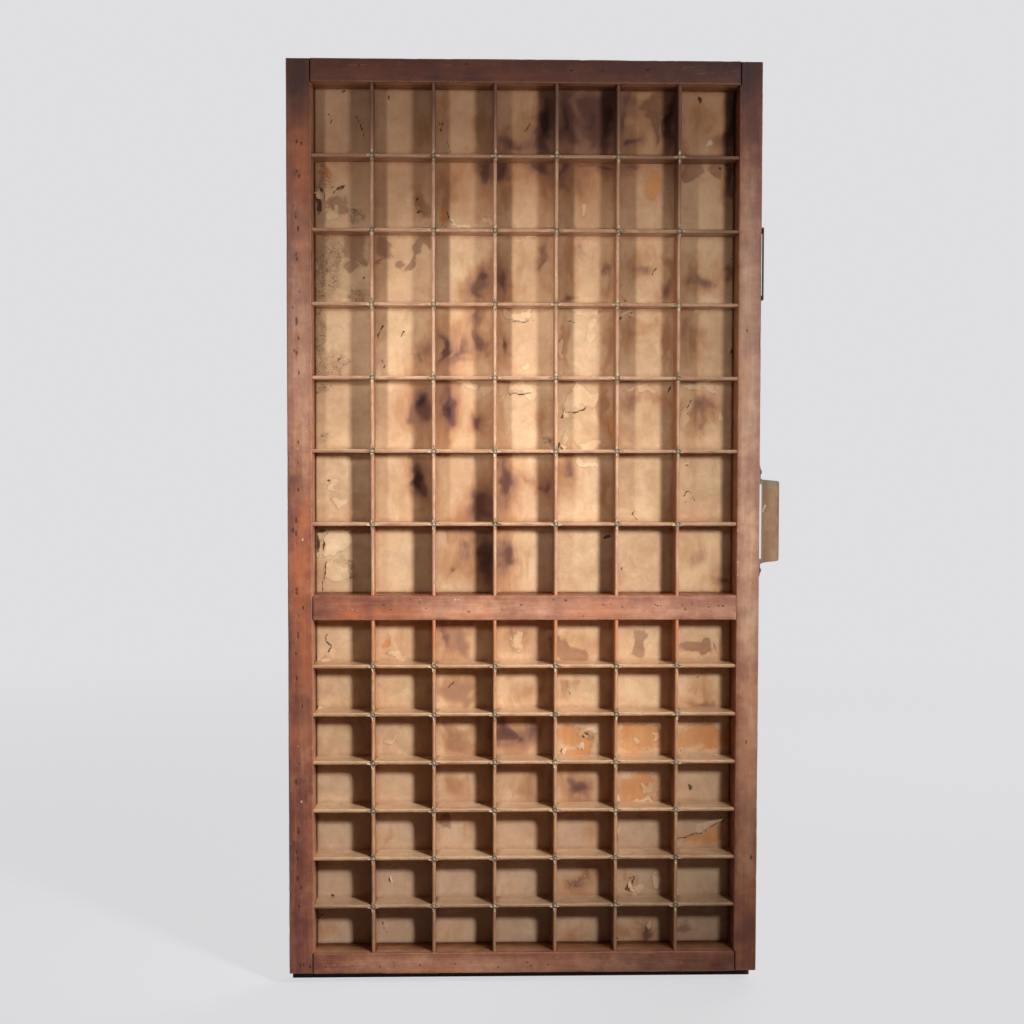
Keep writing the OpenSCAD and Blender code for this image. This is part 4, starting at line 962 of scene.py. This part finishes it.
# One bright line across the hood.
bright_line_offset = at.node("VectorMath", {"operation": "SUBTRACT"}, {0: at, 1: (low.x + 5, 0, low.z + 62)})
beside = abs(bright_line_offset.part(ACROSS) * 0.85 - bright_line_offset.part(UP) * 0.53)
length = abs(bright_line_offset.part(ACROSS) * 0.53 + bright_line_offset.part(UP) * 0.85)
colour = painted(
    streaks.between((164, 122, 86), (184, 144, 108)),
    (worn * 0.75, (160, 134, 122)),
    # Painted sheen: a grey band across the hood's rounded top end.
    (from_middle.fade(30, 33) * 0.7, (142, 132, 106)),
    (abs(from_middle).fade(37, 39) * 0.9, (92, 72, 64)),
    (beside.fade(1.1, 0.5) * length.fade(4.2, 3.2), (240, 214, 190)))
close_surface(at, colour, 0.42 + cloud * 0.2, at.noise(1.5, 3, 0.6), 0.04 * MM)
dress(nodes["pull"], made)

# Card holder, pins, nails
# The holder is a small frame pressed from sheet steel and lacquered dark, held by two pins. The pins, the
# pull's screws, and the nails and brads of the frame and board are plain steel, dulled by age.
made, at = surface("dark_lacquer")
cloud = at.noise(9, 4, 0.6)
close_surface(at, cloud.fade(0.4, 0.65).between((58, 46, 50), (84, 66, 66)), 0.5 + cloud * 0.2,
              at.noise(1.5, 3, 0.6), 0.04 * MM)
dress(nodes["card_holder"], made)

made, at = surface("dull_steel")
cloud = at.noise(2.4, 4, 0.6)
close_surface(at, cloud.fade(0.4, 0.65).between((84, 76, 72), (130, 118, 108)), 0.5 + cloud * 0.2,
              at.noise(0.6, 3, 0.6), 0.04 * MM, Metallic=0.8)
for name in ("pull_screws", "holder_pins", "frame_nails", "board_brads"):
    dress(nodes[name], made)

# Floor, lights and camera
# A plain pale floor that fades into the pale background, a lamp in front of the tray at its right, two small
# ones at its left, and a soft one behind it; the camera stands at the photograph's place.
BACKGROUND = srgb(223, 223, 225)
reach = 8.0
mesh = bpy.data.meshes.new("floor")
corners = [(-reach, -reach, 0), (reach, -reach, 0), (reach, reach, 0), (-reach, reach, 0)]
mesh.from_pydata(corners, [], [(0, 1, 2, 3)])
floor = new_object("floor", mesh)
made, at = surface("pale_floor")
seen = at.seen_rays()
away = at.node("VectorMath", {"operation": "LENGTH"}, {0: at}, "Value")
paint = at.node("BsdfDiffuse", {}, {"Color": srgb(150, 150, 152)})
glow = at.node("Emission", {}, {"Color": BACKGROUND, "Strength": 0.86})
dim = at.node("BsdfDiffuse", {}, {"Color": srgb(118, 118, 120)})
lit = at.node("AddShader", {}, {0: dim, 1: glow})
near = at.node("MixShader", {}, {0: seen, 1: paint, 2: lit})
plain = at.node("Emission", {}, {"Color": BACKGROUND, "Strength": 1.0})
blend = at.node("MixShader", {}, {0: away.fade(600, 2400) * seen, 1: near, 2: plain})
at.node("OutputMaterial", {}, {"Surface": blend})
dress(floor, made)

world = bpy.data.worlds.new("studio")
bpy.context.scene.world = world
world.use_nodes = True
world.node_tree.nodes.clear()
root = Socket(world.node_tree, None)
behind = root.node("TexCoord", {}, {}, "Generated").part(DEPTH)
strength = behind.larger(0.0) * 0.45 + 0.004
light = root.node("Background", {}, {"Color": srgb(255, 250, 244), "Strength": strength})
show = root.node("Background", {}, {"Color": BACKGROUND, "Strength": 1.0})
sky = root.node("MixShader", {}, {0: root.seen_rays(), 1: light, 2: show})
root.node("OutputWorld", {}, {"Surface": sky})


def lamp(name, kind, place, aim, watts):
    """A studio lamp turned to its aim; gives its light, for what its kind needs besides."""
    light = bpy.data.lights.new(name, kind)
    light.energy = watts
    made = new_object(name, light)
    made.location = place
    made.rotation_euler = (Vector(aim) - Vector(place)).to_track_quat("-Z", "Y").to_euler()
    return light


def beam(name, place, aim, radius, watts, cone):
    """A small round lamp that throws a soft-edged cone of light, cone degrees wide."""
    light = lamp(name, "SPOT", place, aim, watts)
    light.shadow_soft_size = radius
    light.spot_size = math.radians(cone)
    light.spot_blend = 1.0


RIGHT_LAMP = (0.45, -0.76, 0.613)
beam("right_beam", RIGHT_LAMP, (-0.17, 0.0, 0.275), 0.07, 32, 48)
beam("right_spill", RIGHT_LAMP, (0.0, 0.0, 0.45), 0.07, 11, 130)
beam("left_high", (-0.49, -0.81, 0.70), (-0.107, 0.0, 0.587), 0.05, 7.9, 43)
beam("left_low", (-0.49, -0.81, 0.54), (-0.02, 0.0, 0.59), 0.05, 18.5, 22.5)
soft = lamp("behind_soft", "AREA", (0.9, 1.3, 1.5), (0, 0, 0.4), 14)
soft.shape = "DISK"
soft.size = 1.2

# The camera's lens, place and turn are those of a pinhole camera fitted to the photograph, 1024 pixels wide.
camera = new_object("camera", bpy.data.cameras.new("camera"))
bpy.context.scene.camera = camera
camera.data.sensor_width = 36
camera.data.lens = 56.25
camera.data.clip_start = 0.05
camera.data.clip_end = 50
half_pixel = 0.5 / 1024
camera.data.shift_x = -half_pixel
camera.data.shift_y = half_pixel
forward = Vector((0.02784, 0.99869, -0.04285)).normalized()
up = Vector((-0.00044, 0.04288, 0.99908))
right = forward.cross(up).normalized()
up = right.cross(forward)
turn = Matrix((right, up, -forward)).transposed().to_4x4()
camera.matrix_world = Matrix.Translation(Vector((-60.6, -1447.5, 491.5)) * MM) @ turn
bpy.context.scene.view_settings.view_transform = "Standard"
